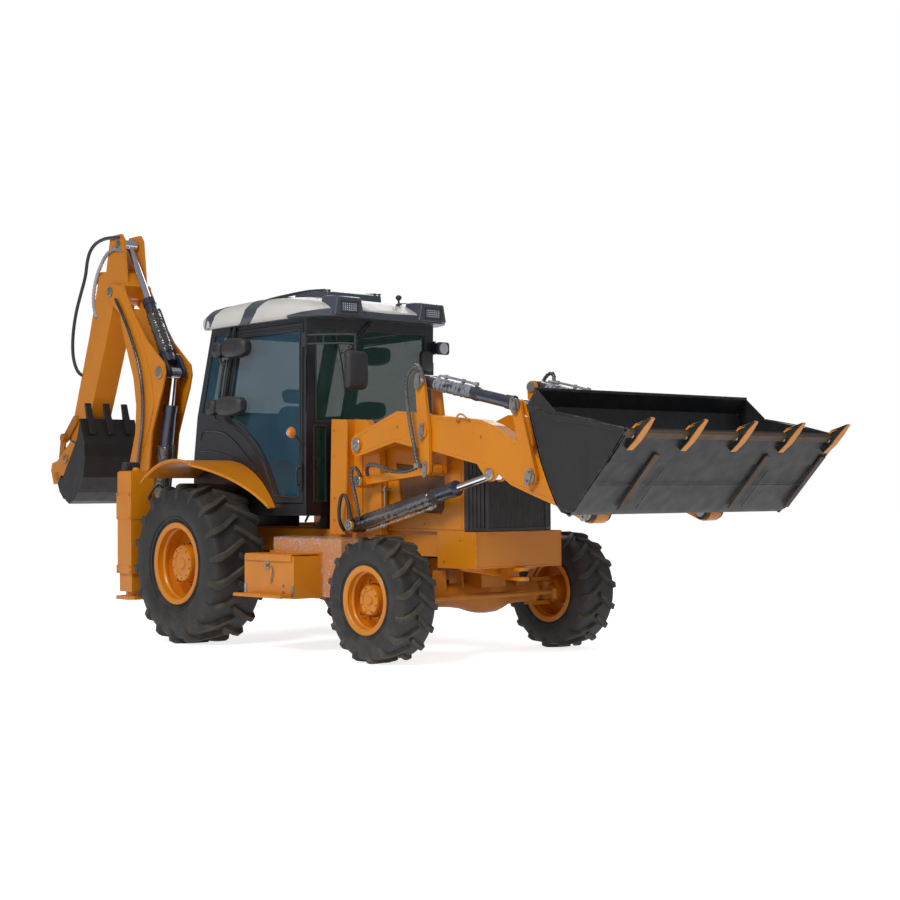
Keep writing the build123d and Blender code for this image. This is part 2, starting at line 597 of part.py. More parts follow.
# Seat and controls
SEAT_TOP_Z = 1530.0
with BuildPart() as seat_cushions:
    add_box((230.0, 720.0), (-235.0, 235.0), (SEAT_TOP_Z - 130.0, SEAT_TOP_Z))
    add_plate([(240.0, SEAT_TOP_Z + 4.0), (120.0, 2080.0), (20.0, 2060.0), (140.0, SEAT_TOP_Z - 60.0),
               (228.0, SEAT_TOP_Z - 60.0)], 0.0, 440.0)
save(seat_cushions, "seat_cushions")

with BuildPart() as cab_controls:
    add_box((240.0, 640.0), (-180.0, 180.0), (CAB_FLOOR_Z[1], SEAT_TOP_Z - 130.0 - SEAT_GAP))
    add_box((860.0, 1070.0), (-210.0, 210.0), (CAB_FLOOR_Z[1], 1480.0))
    add_rod((930.0, 1440.0), (800.0, 1690.0), 0.0, 32.0)
    with BuildSketch(Plane(origin=(REAR_AXLE_X + 800.0, 0, 1690.0), z_dir=(-130.0, 0, 250.0))) as wheel:
        Circle(195.0)
        Circle(165.0, mode=Mode.SUBTRACT)
        Rectangle(350.0, 40.0)
    extrude(wheel.sketch, amount=24.0, both=True)
    for side in (-1, 1):
        add_box((300.0, 700.0), (side * 300.0, side * 420.0), (CAB_FLOOR_Z[1], 1600.0))
        add_rod((560.0, 1590.0), (560.0, 1720.0), side * 360.0, 14.0)
save(cab_controls, "cab_controls")

# Rear fenders
with BuildPart() as rear_fenders:
    for side in (-1, 1):
        with BuildSketch(side_plane(side * (CAB_HALF_W + FENDER_OUT_Y) / 2)) as band:
            with Locations(at((0.0, REAR_TYRE_R))):
                Circle(FENDER_R)
                Circle(FENDER_R - FENDER_SKIN, mode=Mode.SUBTRACT)
            with BuildLine():
                Polyline(at((0.0, REAR_TYRE_R)), at((1000.0, REAR_TYRE_R + 640.0)), at((1000.0, 1700.0)),
                         at((-700.0, 1700.0)), at((-640.0, REAR_TYRE_R + 1024.0)), close=True)
            make_face(mode=Mode.INTERSECT)
        extrude(band.sketch, amount=(FENDER_OUT_Y - CAB_HALF_W) / 2, both=True)
        with BuildSketch(Plane.XY.offset(900.0)) as corner:
            with BuildLine():
                Polyline(*[(REAR_AXLE_X + x, side * y) for x, y in (
                    (250.0, FENDER_OUT_Y + 5.0), (FENDER_R, FENDER_OUT_Y + 5.0),
                    (FENDER_R, 715.0), (690.0, 715.0))], close=True)
            make_face()
        extrude(corner.sketch, amount=800.0, mode=Mode.SUBTRACT)
save(rear_fenders, "rear_fenders")

# Side boxes: toolbox and step on the right, battery box and step on the left, tanks behind both
LID_HINGE = (BOX_Y[0] + 12.0, BOX_Z[1] + 14.0)
with BuildPart() as side_boxes:
    for side in (-1, 1):
        add_box(BOX_X, (side * BOX_Y[0], side * BOX_Y[1]), BOX_Z)
        add_box((BOX_X[0], BOX_X[1] - 25.0), (side * BOX_Y[1], side * 1160.0), (430.0, 448.0))
        for station in (900.0, 1400.0):
            add_box((station, station + 60.0), (side * RAIL_Y[1], side * BOX_Y[0]), (414.0, TANK_Z[0]))
            add_box((station, station + 60.0), (side * RAIL_Y[0], side * RAIL_Y[1]), (414.0, RAIL_Z[0]))
    wall = BOX_WALL
    add_box((BOX_X[0] + wall, BOX_X[1] - wall), (-BOX_Y[1] + wall, -BOX_Y[0] - wall),
            (BOX_Z[0] + wall, BOX_Z[1] + 1),
            Mode.SUBTRACT)
    for low in (BOX_X[0], BOX_X[1] - 20.0):
        add_box((low, low + 20.0), (-LID_HINGE[0] - 12.0, -BOX_Y[0]), (BOX_Z[1] - 5.0, LID_HINGE[1] + 12.0))
    with BuildSketch(Plane.YZ.offset(REAR_AXLE_X + BOX_X[0])) as hinge_pin:
        with Locations((-LID_HINGE[0], LID_HINGE[1])):
            Circle(4.0)
    extrude(hinge_pin.sketch, amount=BOX_X[1] - BOX_X[0])
    for side in (-1, 1):
        add_box(TANK_X, (side * TANK_Y[0], side * TANK_Y[1]), TANK_Z)
save(side_boxes, "side_boxes")

with BuildPart() as toolbox_lid:
    x_low, x_high = BOX_X[0] + 22.0, BOX_X[1] - 22.0
    add_box((x_low, x_high), (-BOX_Y[1], -LID_HINGE[0] - 2.0), (BOX_Z[1] + 6.0, BOX_Z[1] + 12.0))
    add_box((x_low, x_high), (-BOX_Y[1] - 8.0, -BOX_Y[1] - 3.0), (BOX_Z[1] - 45.0, BOX_Z[1] + 12.0))
    add_box((x_low, x_high), (-BOX_Y[1] - 8.0, -BOX_Y[1] + 2.0), (BOX_Z[1] + 6.0, BOX_Z[1] + 12.0))
    with BuildSketch(Plane.YZ.offset(REAR_AXLE_X + x_low)) as knuckle_ring:
        with Locations((-LID_HINGE[0], LID_HINGE[1])):
            Circle(9.0)
    extrude(knuckle_ring.sketch, amount=x_high - x_low)
    with BuildSketch(Plane.YZ.offset(REAR_AXLE_X + x_low)) as bore:
        with Locations((-LID_HINGE[0], LID_HINGE[1])):
            Circle(4.0 + PIN_GAP)
    extrude(bore.sketch, amount=x_high - x_low, mode=Mode.SUBTRACT)
save(toolbox_lid, "toolbox_lid")

# Rear frame with the fixed stabiliser boxes
with BuildPart() as rear_frame:
    for z in (BEAM_LOW_Z, BEAM_HIGH_Z):
        add_box(BEAM_X, (-POST_Y[0], POST_Y[0]), z)
    for side in (-1, 1):
        post_y = (side * POST_Y[0], side * POST_Y[1])
        add_box(POST_X, post_y, POST_Z)
        for collar_z in ((1009.0, 1231.0), (550.0, 620.0)):
            add_box((POST_X[0] - 7.0, POST_X[1] + 7.0), (side * (POST_Y[0] - 7.0),
                                                         side * (POST_Y[1] + 7.0)), collar_z)
        add_box((BEAM_X[0] + 20.0, BEAM_X[1]), (side * 330.0, side * 400.0),
                (BEAM_LOW_Z[1] - 1.0, BEAM_HIGH_Z[0] + 1.0))
        add_box((POST_X[0] + POST_WALL, POST_X[1] - POST_WALL),
                (side * (POST_Y[0] + POST_WALL), side * (POST_Y[1] - POST_WALL)),
                (POST_Z[0] - 1.0, POST_Z[1] - POST_WALL), Mode.SUBTRACT)
save(rear_frame, "rear_frame")

for name, side in (("right", -1), ("left", 1)):
    with BuildPart() as leg:
        margin = POST_WALL + LEG_GAP
        add_box((POST_X[0] + margin, POST_X[1] - margin), (side * (POST_Y[0] + margin),
                                                           side * (POST_Y[1] - margin)),
                (FOOT_Z[1] - 5.0, 1300.0))
        foot_at = (REAR_AXLE_X + (POST_X[0] + POST_X[1]) / 2, side * (POST_Y[0] + POST_Y[1]) / 2)
        with BuildSketch(Plane.XY.offset(FOOT_Z[0])) as pad:
            with Locations(foot_at):
                Rectangle(274.0, 274.0)
            chamfer(pad.vertices(), length=40.0)
        extrude(pad.sketch, amount=30.0)
        with BuildSketch(Plane.XY.offset(FOOT_Z[0] + 29.0)) as boss:
            with Locations(foot_at):
                Circle(85.0)
        extrude(boss.sketch, amount=FOOT_Z[1] - FOOT_Z[0] - 29.0)
    save(leg, f"stabiliser_leg_{name}")

# Mirrors and lamps
with BuildPart() as lamps_mirrors:
    for side in (-1, 1):
        add_box((1300.0, 1335.0), (side * 840.0, side * 1000.0), (1990.0, 2290.0))
        for z in (2060.0, 2220.0):
            add_box((1112.0, 1310.0), (side * 650.0, side * 670.0), (z - 10.0, z + 10.0))
            add_box((1290.0, 1310.0), (side * 650.0, side * 860.0), (z - 10.0, z + 10.0))
        add_box((1112.0, 1135.0), (side * 650.0, side * 700.0), (1440.0, 1470.0))
        add_box((1112.0, 1190.0), (side * 690.0, side * 790.0), (1390.0, 1530.0))
        add_box((POST_X[0] + 10.0, POST_X[0] + 70.0), (side * 960.0, side * 1120.0),
                (POST_Z[1], POST_Z[1] + 85.0))
save(lamps_mirrors, "lamps_mirrors")


# Loader
def add_head(point, side, inner, mode=Mode.ADD):
    """A retaining head outboard of |y| = inner on one side of the machine."""
    add_cross_bar(point, (side * inner, side * (inner + PIN_HEAD)), PIN_HEAD_R, mode)


def add_barrel(base, eye, y, kind, base_half, base_r, pin_r):
    """A cylinder's barrel with its base eye, hollow for the rod."""
    barrel_r, rod_r, length, _ = CYLINDERS[kind]
    add_rod(base, toward(base, eye, length), y, barrel_r)
    add_rod(toward(base, eye, length - GLAND_LENGTH), toward(base, eye, length), y, barrel_r + GLAND_LIP)
    add_round(base, y, 2 * base_half, base_r)
    add_rod(toward(base, eye, BARREL_FLOOR), toward(base, eye, length + 1.0), y, rod_r + PIN_GAP,
            Mode.SUBTRACT)
    add_round(base, y, 2 * base_half + 2.0, pin_r + PIN_GAP, Mode.SUBTRACT)


def add_cylinder_rod(base, eye, y, kind, eye_half, eye_r, bore_r):
    """A cylinder's rod with its open eye."""
    _, rod_r, _, rod_length = CYLINDERS[kind]
    add_rod(toward(eye, base, rod_length), eye, y, rod_r)
    add_round(eye, y, 2 * eye_half, eye_r)
    add_round(eye, y, 2 * eye_half + 2.0, bore_r, Mode.SUBTRACT)


ARM_OUTLINE = [ARM_PIVOT, (1702.0, 1655.0), (2214.0, 1816.0), (2413.0, 1796.0), (2656.0, 1769.0),
               (3134.0, 1719.0), (3267.0, 1675.0), (3531.0, 1540.0), (3719.0, 1435.0), (4128.0,
                                                                                        1142.0), BUCKET_PIN,
               (4148.0, 1012.0), (3922.0, 1105.0), (3672.0, 1183.0), (3436.0, 1262.0), (3240.0, 1382.0),
               (2939.0, 1443.0), (2653.0, 1506.0), (2396.0, 1546.0), (2185.0, 1588.0), (1762.0, 1497.0)]
CROSS_TUBE = (3360.0, 1455.0)
LIFT_EAR = 22.0
LIFT_EYE_ROOM = 135.0
INNER_PLATE_Y = ARM_Y - ARM_W / 2 - SIDE_GAP - LEVER_PLATE / 2
OUTER_PLATE_Y = ARM_Y + ARM_W / 2 + SIDE_GAP + LEVER_PLATE / 2
INNER_FACE_Y = INNER_PLATE_Y - LEVER_PLATE / 2
OUTER_FACE_Y = OUTER_PLATE_Y + LEVER_PLATE / 2
with BuildPart() as lift_arms:
    for side in (-1, 1):
        y = side * ARM_Y
        add_plate(ARM_OUTLINE, y, ARM_W)
        add_round(ARM_PIVOT, y, ARM_W, 85.0)
        add_round(BUCKET_PIN, y, ARM_W, 68.0)
        for ear_y in (ARM_Y - ARM_W / 2 + LIFT_EAR / 2, ARM_Y + ARM_W / 2 - LIFT_EAR / 2):
            add_link([(LIFT_EYE, 52.0), ((3090.0, 1450.0), 25.0), ((3335.0, 1420.0), 25.0)], side * ear_y,
                     LIFT_EAR)
        add_cross_bar(LIFT_EYE, (side * (ARM_Y + ARM_W / 2), side * (ARM_Y + ARM_W / 2 + 10.0)), 42.0)
        eye_room = ARM_W - 2 * LIFT_EAR
        add_round(LIFT_EYE, y, eye_room, LIFT_EYE_ROOM, Mode.SUBTRACT)
        add_cross_bar(REAR_LEVER_PIN, (side * INNER_FACE_Y, side * OUTER_FACE_Y), LOADER_PIN_R)
        add_cross_bar(REAR_LEVER_PIN, (side * (INNER_FACE_Y - PIN_HEAD), side * INNER_FACE_Y),
                      PIN_HEAD_R - 8.0)
        add_head(REAR_LEVER_PIN, side, OUTER_FACE_Y)
        for point, radius in ((ARM_PIVOT, LOADER_PIN_R + 4.0), (FRONT_LEVER_PIN, LOADER_PIN_R),
                              (BUCKET_PIN, LOADER_PIN_R)):
            add_round(point, y, ARM_W + 2.0, radius + PIN_GAP, Mode.SUBTRACT)
    add_round(CROSS_TUBE, 0.0, 2 * (ARM_Y - ARM_W / 2), 70.0)
save(lift_arms, "lift_arms")

with BuildPart() as rear_levers:
    for side in (-1, 1):
        for plate_y in (INNER_PLATE_Y, OUTER_PLATE_Y):
            add_link([(LINK_END, 46.0), (REAR_LEVER_PIN, 62.0)], side * plate_y, LEVER_PLATE)
            add_link([(REAR_LEVER_TOP, 48.0), (REAR_LEVER_PIN, 62.0)], side * plate_y, LEVER_PLATE)
            for point in (REAR_LEVER_PIN, REAR_LEVER_TOP):
                add_round(point, side * plate_y, LEVER_PLATE + 2.0, LOADER_PIN_R + PIN_GAP, Mode.SUBTRACT)
        add_cross_bar(LINK_END, (side * INNER_FACE_Y, side * OUTER_FACE_Y), 24.0)
save(rear_levers, "rear_levers")

with BuildPart() as levelling_links:
    for side in (-1, 1):
        y = side * ARM_Y
        add_link([(LINK_PIVOT, 30.0), (LINK_END, 30.0)], y, 50.0)
        add_round(LINK_PIVOT, y, 100.0, 50.0)
        add_round(LINK_END, y, 90.0, 44.0)
        add_round(LINK_PIVOT, y, 102.0, LOADER_PIN_R + PIN_GAP, Mode.SUBTRACT)
        add_round(LINK_END, y, 92.0, 24.0 + PIN_GAP, Mode.SUBTRACT)
save(levelling_links, "levelling_links")

# The four sets of loose pins
LINK_PLATE_Y = (ARM_Y - 38.0, ARM_Y + 38.0)
LINK_PLATE = 14.0
with BuildPart() as tilt_base_pins:
    for side in (-1, 1):
        add_cross_bar(REAR_LEVER_TOP, (side * INNER_FACE_Y, side * OUTER_FACE_Y), LOADER_PIN_R)
        add_cross_bar(REAR_LEVER_TOP, (side * (INNER_FACE_Y - 1.0 - PIN_HEAD), side * (INNER_FACE_Y - 1.0)),
                      40.0)
        add_cross_bar(REAR_LEVER_TOP, (side * (INNER_FACE_Y - 1.0), side * INNER_FACE_Y), LOADER_PIN_R)
        add_cross_bar(REAR_LEVER_TOP, (side * OUTER_FACE_Y, side * (OUTER_FACE_Y + 1.0)), LOADER_PIN_R)
        add_head(REAR_LEVER_TOP, side, OUTER_FACE_Y + 1.0)
save(tilt_base_pins, "tilt_base_pins")

with BuildPart() as lever_pins:
    for side in (-1, 1):
        add_cross_bar(FRONT_LEVER_PIN, (side * (INNER_FACE_Y - 2.0), side * (OUTER_FACE_Y + 2.0)),
                      LOADER_PIN_R)
        add_cross_bar(FRONT_LEVER_PIN, (side * (INNER_FACE_Y - 1.0 - PIN_HEAD),
                                        side * (INNER_FACE_Y - 1.0)), 40.0)
        add_head(FRONT_LEVER_PIN, side, OUTER_FACE_Y + 1.0)
save(lever_pins, "lever_pins")

with BuildPart() as lever_top_pins:
    for side in (-1, 1):
        inner_end = LINK_PLATE_Y[0] + LINK_PLATE / 2
        outer_end = LINK_PLATE_Y[1] - LINK_PLATE / 2
        add_cross_bar(FRONT_LEVER_TOP, (side * (INNER_FACE_Y - 2.0), side * inner_end), 24.0)
        add_cross_bar(FRONT_LEVER_TOP, (side * (INNER_FACE_Y - 1.0 - PIN_HEAD),
                                        side * (INNER_FACE_Y - 1.0)), 36.0)
        add_cross_bar(FRONT_LEVER_TOP, (side * outer_end, side * (OUTER_FACE_Y + 2.0)), 24.0)
        add_head(FRONT_LEVER_TOP, side, OUTER_FACE_Y + 1.0)
save(lever_top_pins, "lever_top_pins")

with BuildPart() as bucket_pins:
    for side in (-1, 1):
        add_cross_bar(BUCKET_PIN, (side * (INNER_FACE_Y - 2.0), side * (OUTER_FACE_Y + 2.0)), LOADER_PIN_R)
        add_cross_bar(BUCKET_PIN, (side * (INNER_FACE_Y - 1.0 - PIN_HEAD), side * (INNER_FACE_Y - 1.0)),
                      40.0)
        add_head(BUCKET_PIN, side, OUTER_FACE_Y + 1.0)
save(bucket_pins, "bucket_pins")

with BuildPart() as front_levers:
    for side in (-1, 1):
        for plate_y in (INNER_PLATE_Y, OUTER_PLATE_Y):
            add_link([(FRONT_LEVER_PIN, 56.0), (FRONT_LEVER_TOP, 44.0)], side * plate_y, LEVER_PLATE)
            add_round(FRONT_LEVER_PIN, side * plate_y, LEVER_PLATE + 2.0, LOADER_PIN_R + PIN_GAP,
                      Mode.SUBTRACT)
            add_round(FRONT_LEVER_TOP, side * plate_y, LEVER_PLATE + 2.0, 24.0 + PIN_GAP, Mode.SUBTRACT)
save(front_levers, "front_levers")

with BuildPart() as bucket_links:
    for side in (-1, 1):
        for plate_y in LINK_PLATE_Y:
            add_link([(FRONT_LEVER_TOP, 40.0), (BUCKET_LINK_PIN, 40.0)], side * plate_y, LINK_PLATE)
            for point in (FRONT_LEVER_TOP, BUCKET_LINK_PIN):
                add_round(point, side * plate_y, LINK_PLATE + 2.0, 24.0 + PIN_GAP, Mode.SUBTRACT)
save(bucket_links, "bucket_links")

# Loader cylinders
with BuildPart() as lift_barrels:
    for side in (-1, 1):
        add_barrel(LIFT_BASE, LIFT_EYE, side * ARM_Y, "lift", ARM_W / 2, 58.0, LOADER_PIN_R)
save(lift_barrels, "lift_barrels")
with BuildPart() as lift_rods:
    for side in (-1, 1):
        add_cylinder_rod(LIFT_BASE, LIFT_EYE, side * ARM_Y, "lift", ARM_W / 2 - LIFT_EAR - SIDE_GAP, 46.0,
                         28.0)
save(lift_rods, "lift_rods")
with BuildPart() as tilt_barrels:
    for side in (-1, 1):
        add_barrel(REAR_LEVER_TOP, FRONT_LEVER_TOP, side * ARM_Y, "tilt", ARM_W / 2, 50.0, LOADER_PIN_R)
save(tilt_barrels, "tilt_barrels")
with BuildPart() as tilt_rods:
    for side in (-1, 1):
        add_cylinder_rod(REAR_LEVER_TOP, FRONT_LEVER_TOP, side * ARM_Y, "tilt", 25.0, 42.0, 24.0)
save(tilt_rods, "tilt_rods")

# Loader bucket
BUCKET_PATH = [(4130.0, 1870.0), (4050.0, 1765.0), (4170.0, 1400.0), (4230.0, 1270.0), (4300.0, 1140.0),
               (4350.0, 1085.0), (4420.0, 1068.0), (4470.0, 1090.0), (4830.0, 1470.0)]
BUCKET_SIDE = BUCKET_PATH + [(4935.0, 1580.0), (4880.0, 1622.0)]
EDGE = [(4760.0, 1384.0), (4935.0, 1580.0)]
TOOTH = ((-150.0, -34.0), (-60.0, -46.0), (110.0, -16.0), (TOOTH_LENGTH, -2.0), (TOOTH_LENGTH, 6.0),
         (90.0, 34.0),
         (-40.0, 40.0), (-150.0, 34.0))
TOOTH_W = 62.0
FLOOR_RUN = hypot(EDGE[1][0] - EDGE[0][0], EDGE[1][1] - EDGE[0][1])
FLOOR_U = ((EDGE[1][0] - EDGE[0][0]) / FLOOR_RUN, (EDGE[1][1] - EDGE[0][1]) / FLOOR_RUN)
with BuildPart() as loader_bucket:
    add_plate(strip(BUCKET_PATH, BUCKET_SKIN), 0.0, 2 * BUCKET_HALF_W)
    add_plate(strip(EDGE, 26.0), 0.0, 2 * BUCKET_HALF_W)
    for side in (-1, 1):
        add_plate(BUCKET_SIDE, side * (BUCKET_HALF_W - 10.0), 20.0)
        for plate_y in (INNER_PLATE_Y, OUTER_PLATE_Y):
            add_link([(BUCKET_PIN, 58.0), ((4216.0, 1310.0), 12.0), ((4290.0, 1170.0), 12.0)],
                     side * plate_y,
                     LEVER_PLATE)
            add_link([(BUCKET_LINK_PIN, 46.0), ((4085.0, 1690.0), 12.0), ((4216.0, 1310.0), 12.0)],
                     side * plate_y,
                     LEVER_PLATE)
            add_link([(BUCKET_PIN, 40.0), (BUCKET_LINK_PIN, 40.0), ((4180.0, 1400.0), 12.0)],
                     side * plate_y,
                     LEVER_PLATE)
            add_round(BUCKET_PIN, side * plate_y, LEVER_PLATE + 2.0, LOADER_PIN_R + PIN_GAP, Mode.SUBTRACT)
        add_cross_bar(BUCKET_LINK_PIN, (side * INNER_FACE_Y, side * OUTER_FACE_Y), 24.0)
    for share in (-1.0, -0.5, 0.0, 0.5, 1.0):
        tip = (EDGE[1][0], EDGE[1][1])
        outline = [(tip[0] + FLOOR_U[0] * a - FLOOR_U[1] * b, tip[1] + FLOOR_U[1] * a + FLOOR_U[0] * b)
                   for a, b in TOOTH]
        add_plate(outline, share * (BUCKET_HALF_W - 45.0), TOOTH_W)
save(loader_bucket, "loader_bucket")

# Backhoe carriage, sliding along the rear frame
CARRIAGE_X = (-930.0, -900.3)
LUG_LOW_Z = (500.0, 560.0)
LUG_HIGH_Z = (885.0, 935.0)
LUG_R = 105.0
SWING_PIN_R = 38.0
with BuildPart() as carriage:
    add_box(CARRIAGE_X, (HOE_Y - 260.0, HOE_Y + 260.0), (500.0, 1000.0))
    add_box((CARRIAGE_X[0], BEAM_X[0] + 60.0), (HOE_Y - 220.0, HOE_Y + 220.0),
            (BEAM_HIGH_Z[1] + 0.3, BEAM_HIGH_Z[1] + 31.0))
    add_box((CARRIAGE_X[0], BEAM_X[0] + 60.0), (HOE_Y - 220.0, HOE_Y + 220.0),
            (BEAM_LOW_Z[0] - 31.0, BEAM_LOW_Z[0] - 0.3))
    for z in (LUG_LOW_Z, LUG_HIGH_Z):
        with BuildSketch(Plane.XY.offset(z[0])) as lug:
            with Locations((REAR_AXLE_X + SWING_X, HOE_Y)):
                Circle(LUG_R)
            with Locations((REAR_AXLE_X + CARRIAGE_X[0] - 10.0, HOE_Y)):
                Rectangle(40.0, 300.0)
            make_hull()
        extrude(lug.sketch, amount=z[1] - z[0])
    with Locations((REAR_AXLE_X + SWING_X, HOE_Y, (LUG_LOW_Z[0] + LUG_HIGH_Z[1]) / 2)):
        Cylinder(SWING_PIN_R, LUG_HIGH_Z[1] - LUG_LOW_Z[0])
save(carriage, "carriage")

EAR_Y = 171.0
EAR = 30.0
EAR_KNEE = (-1445.0, 1000.0)
with BuildPart() as kingpost:
    barrel_z = (LUG_LOW_Z[1] + 6.0, LUG_HIGH_Z[0] - 6.0)
    with Locations((REAR_AXLE_X + SWING_X, HOE_Y, sum(barrel_z) / 2)):
        Cylinder(92.0, barrel_z[1] - barrel_z[0])
    add_box((SWING_X - 115.0, SWING_X + 20.0), (HOE_Y - EAR_Y, HOE_Y + EAR_Y), (630.0, 810.0))
    for side in (-1, 1):
        add_link([(BOOM_FOOT, 82.0), ((SWING_X - 10.0, 690.0), 80.0)], HOE_Y + side * EAR_Y, EAR)
        add_link([(BOOM_FOOT, 82.0), (EAR_KNEE, 45.0)], HOE_Y + side * EAR_Y, EAR)
        add_link([(EAR_KNEE, 45.0), (BOOM_CYL_BASE, 56.0)], HOE_Y + side * EAR_Y, EAR)
    add_round(BOOM_FOOT, HOE_Y, 2 * EAR_Y + EAR, 38.0)
    add_round(BOOM_CYL_BASE, HOE_Y, 2 * EAR_Y + EAR, 30.0)
    for side in (-1, 1):
        for point in (BOOM_FOOT, BOOM_CYL_BASE):
            add_round(point, HOE_Y + side * (EAR_Y + EAR / 2 + 6.0), 12.0, 50.0)
    with Locations((REAR_AXLE_X + SWING_X, HOE_Y, sum(barrel_z) / 2)):
        Cylinder(SWING_PIN_R + PIN_GAP, barrel_z[1] - barrel_z[0] + 2.0, mode=Mode.SUBTRACT)
save(kingpost, "kingpost")

BOOM_REAR = [(-1687.0, 2983.0), (-1562.0, 2619.0), (-1402.0, 2259.0), (-1356.0, 2009.0), (-1373.0, 1762.0),
             (-1487.0, 1450.0), (-1612.0, 790.0)]
BOOM_SEAM = [(-1448.0, 740.0), (-1342.0, 1448.0), (-1183.0, 1707.0), (-1057.0, 1996.0), (-1102.0, 2242.0),
             (-1305.0, 2649.0), (-1560.0, 2986.0), (-1600.0, 3110.0)]
BOOM_CORE = [(-1448.0, 740.0), (-1352.0, 1448.0), (-1265.0, 1707.0), (-1215.0, 2000.0), (-1255.0, 2300.0),
             (-1370.0, 2600.0), (-1530.0, 2880.0)]
BRACKET = [(-1609.0, 3125.0), (-1464.0, 2894.0), (-1179.0, 2574.0), (-901.0, 2360.0), (-880.0, 2270.0),
           (-918.0, 2151.0), (-995.0, 1993.0), (-1105.0, 1753.0), (-1153.0, 1445.0), (-1400.0, 1270.0)]
BOOM_TIP_HALF = DIPPER_HALF_W + 6.0
with BuildPart() as boom:
    add_plate(BOOM_REAR + BOOM_CORE, HOE_Y, 2 * (BOOM_HALF_W - BOOM_PLATE) + 2.0)
    add_round(BOOM_FOOT, HOE_Y, 2 * BOOM_HALF_W, 88.0)
    for side in (-1, 1):
        plate_y = HOE_Y + side * (BOOM_HALF_W - BOOM_PLATE / 2)
        add_plate(BOOM_REAR + BOOM_SEAM, plate_y, BOOM_PLATE)
        add_plate(BRACKET + [(-1260.0, 1760.0), (-1160.0, 2000.0), (-1200.0, 2300.0), (-1400.0, 2640.0),
                             (-1640.0, 2960.0)], HOE_Y + side * (BOOM_HALF_W - 15.0), 16.0)
        tip_w = BOOM_HALF_W - BOOM_TIP_HALF
        tip_y = HOE_Y + side * (BOOM_HALF_W + BOOM_TIP_HALF) / 2
        add_link([(DIPPER_PIN, 78.0), ((-1640.0, 3060.0), 50.0), ((-1600.0, 2900.0), 60.0)], tip_y, tip_w)
        add_link([(KNUCKLE, 80.0), ((-1090.0, 2240.0), 90.0)], HOE_Y + side * (BOOM_HALF_W - 15.0), 16.0)
        add_round(KNUCKLE, HOE_Y + side * 103.0, 94.0, 32.0)
        add_round(KNUCKLE, HOE_Y + side * (BOOM_HALF_W - 5.0), 20.0, 56.0)
    add_round(DIPPER_PIN, HOE_Y, 2 * BOOM_TIP_HALF, 300.0, Mode.SUBTRACT)
    add_round(DIPPER_PIN, HOE_Y, 2 * BOOM_HALF_W + 20.0, 34.0)
    add_round(BOOM_FOOT, HOE_Y, 2 * BOOM_HALF_W + 4.0, 38.0 + PIN_GAP, Mode.SUBTRACT)
save(boom, "boom")

with BuildPart() as boom_barrel:
    add_barrel(BOOM_CYL_BASE, KNUCKLE, HOE_Y, "boom", 70.0, 52.0, 30.0)
save(boom_barrel, "boom_barrel")
with BuildPart() as boom_rod:
    add_cylinder_rod(BOOM_CYL_BASE, KNUCKLE, HOE_Y, "boom", 46.0, 52.0, 30.0)
save(boom_rod, "boom_rod")

# Dipper cylinder: its base forks around the boom cylinder's eye
FORK_Y = (64.0, 96.0)
with BuildPart() as dipper_barrel:
    barrel_r, rod_r, length, _ = CYLINDERS["dipper"]
    fork_end = toward(KNUCKLE, DIPPER_TAIL, 150.0)
    add_rod(toward(KNUCKLE, DIPPER_TAIL, 110.0), toward(KNUCKLE, DIPPER_TAIL, length), HOE_Y, barrel_r)
    add_rod(toward(KNUCKLE, DIPPER_TAIL, length - GLAND_LENGTH), toward(KNUCKLE, DIPPER_TAIL, length),
            HOE_Y,
            barrel_r + GLAND_LIP)
    for side in (-1, 1):
        add_link([(KNUCKLE, 58.0), (fork_end, 50.0)], HOE_Y + side * sum(FORK_Y) / 2, FORK_Y[1] - FORK_Y[0])
    add_round(toward(KNUCKLE, DIPPER_TAIL, 165.0), HOE_Y, 2 * FORK_Y[1], 34.0)
    add_rod(toward(KNUCKLE, DIPPER_TAIL, 200.0), toward(KNUCKLE, DIPPER_TAIL, length + 1.0), HOE_Y,
            rod_r + PIN_GAP, Mode.SUBTRACT)
    for side in (-1, 1):
        add_round(KNUCKLE, HOE_Y + side * sum(FORK_Y) / 2, FORK_Y[1] - FORK_Y[0] + 2.0, 32.0 + PIN_GAP,
                  Mode.SUBTRACT)
save(dipper_barrel, "dipper_barrel")
with BuildPart() as dipper_rod:
    add_cylinder_rod(KNUCKLE, DIPPER_TAIL, HOE_Y, "dipper", 60.0, 48.0, 30.0)
save(dipper_rod, "dipper_rod")

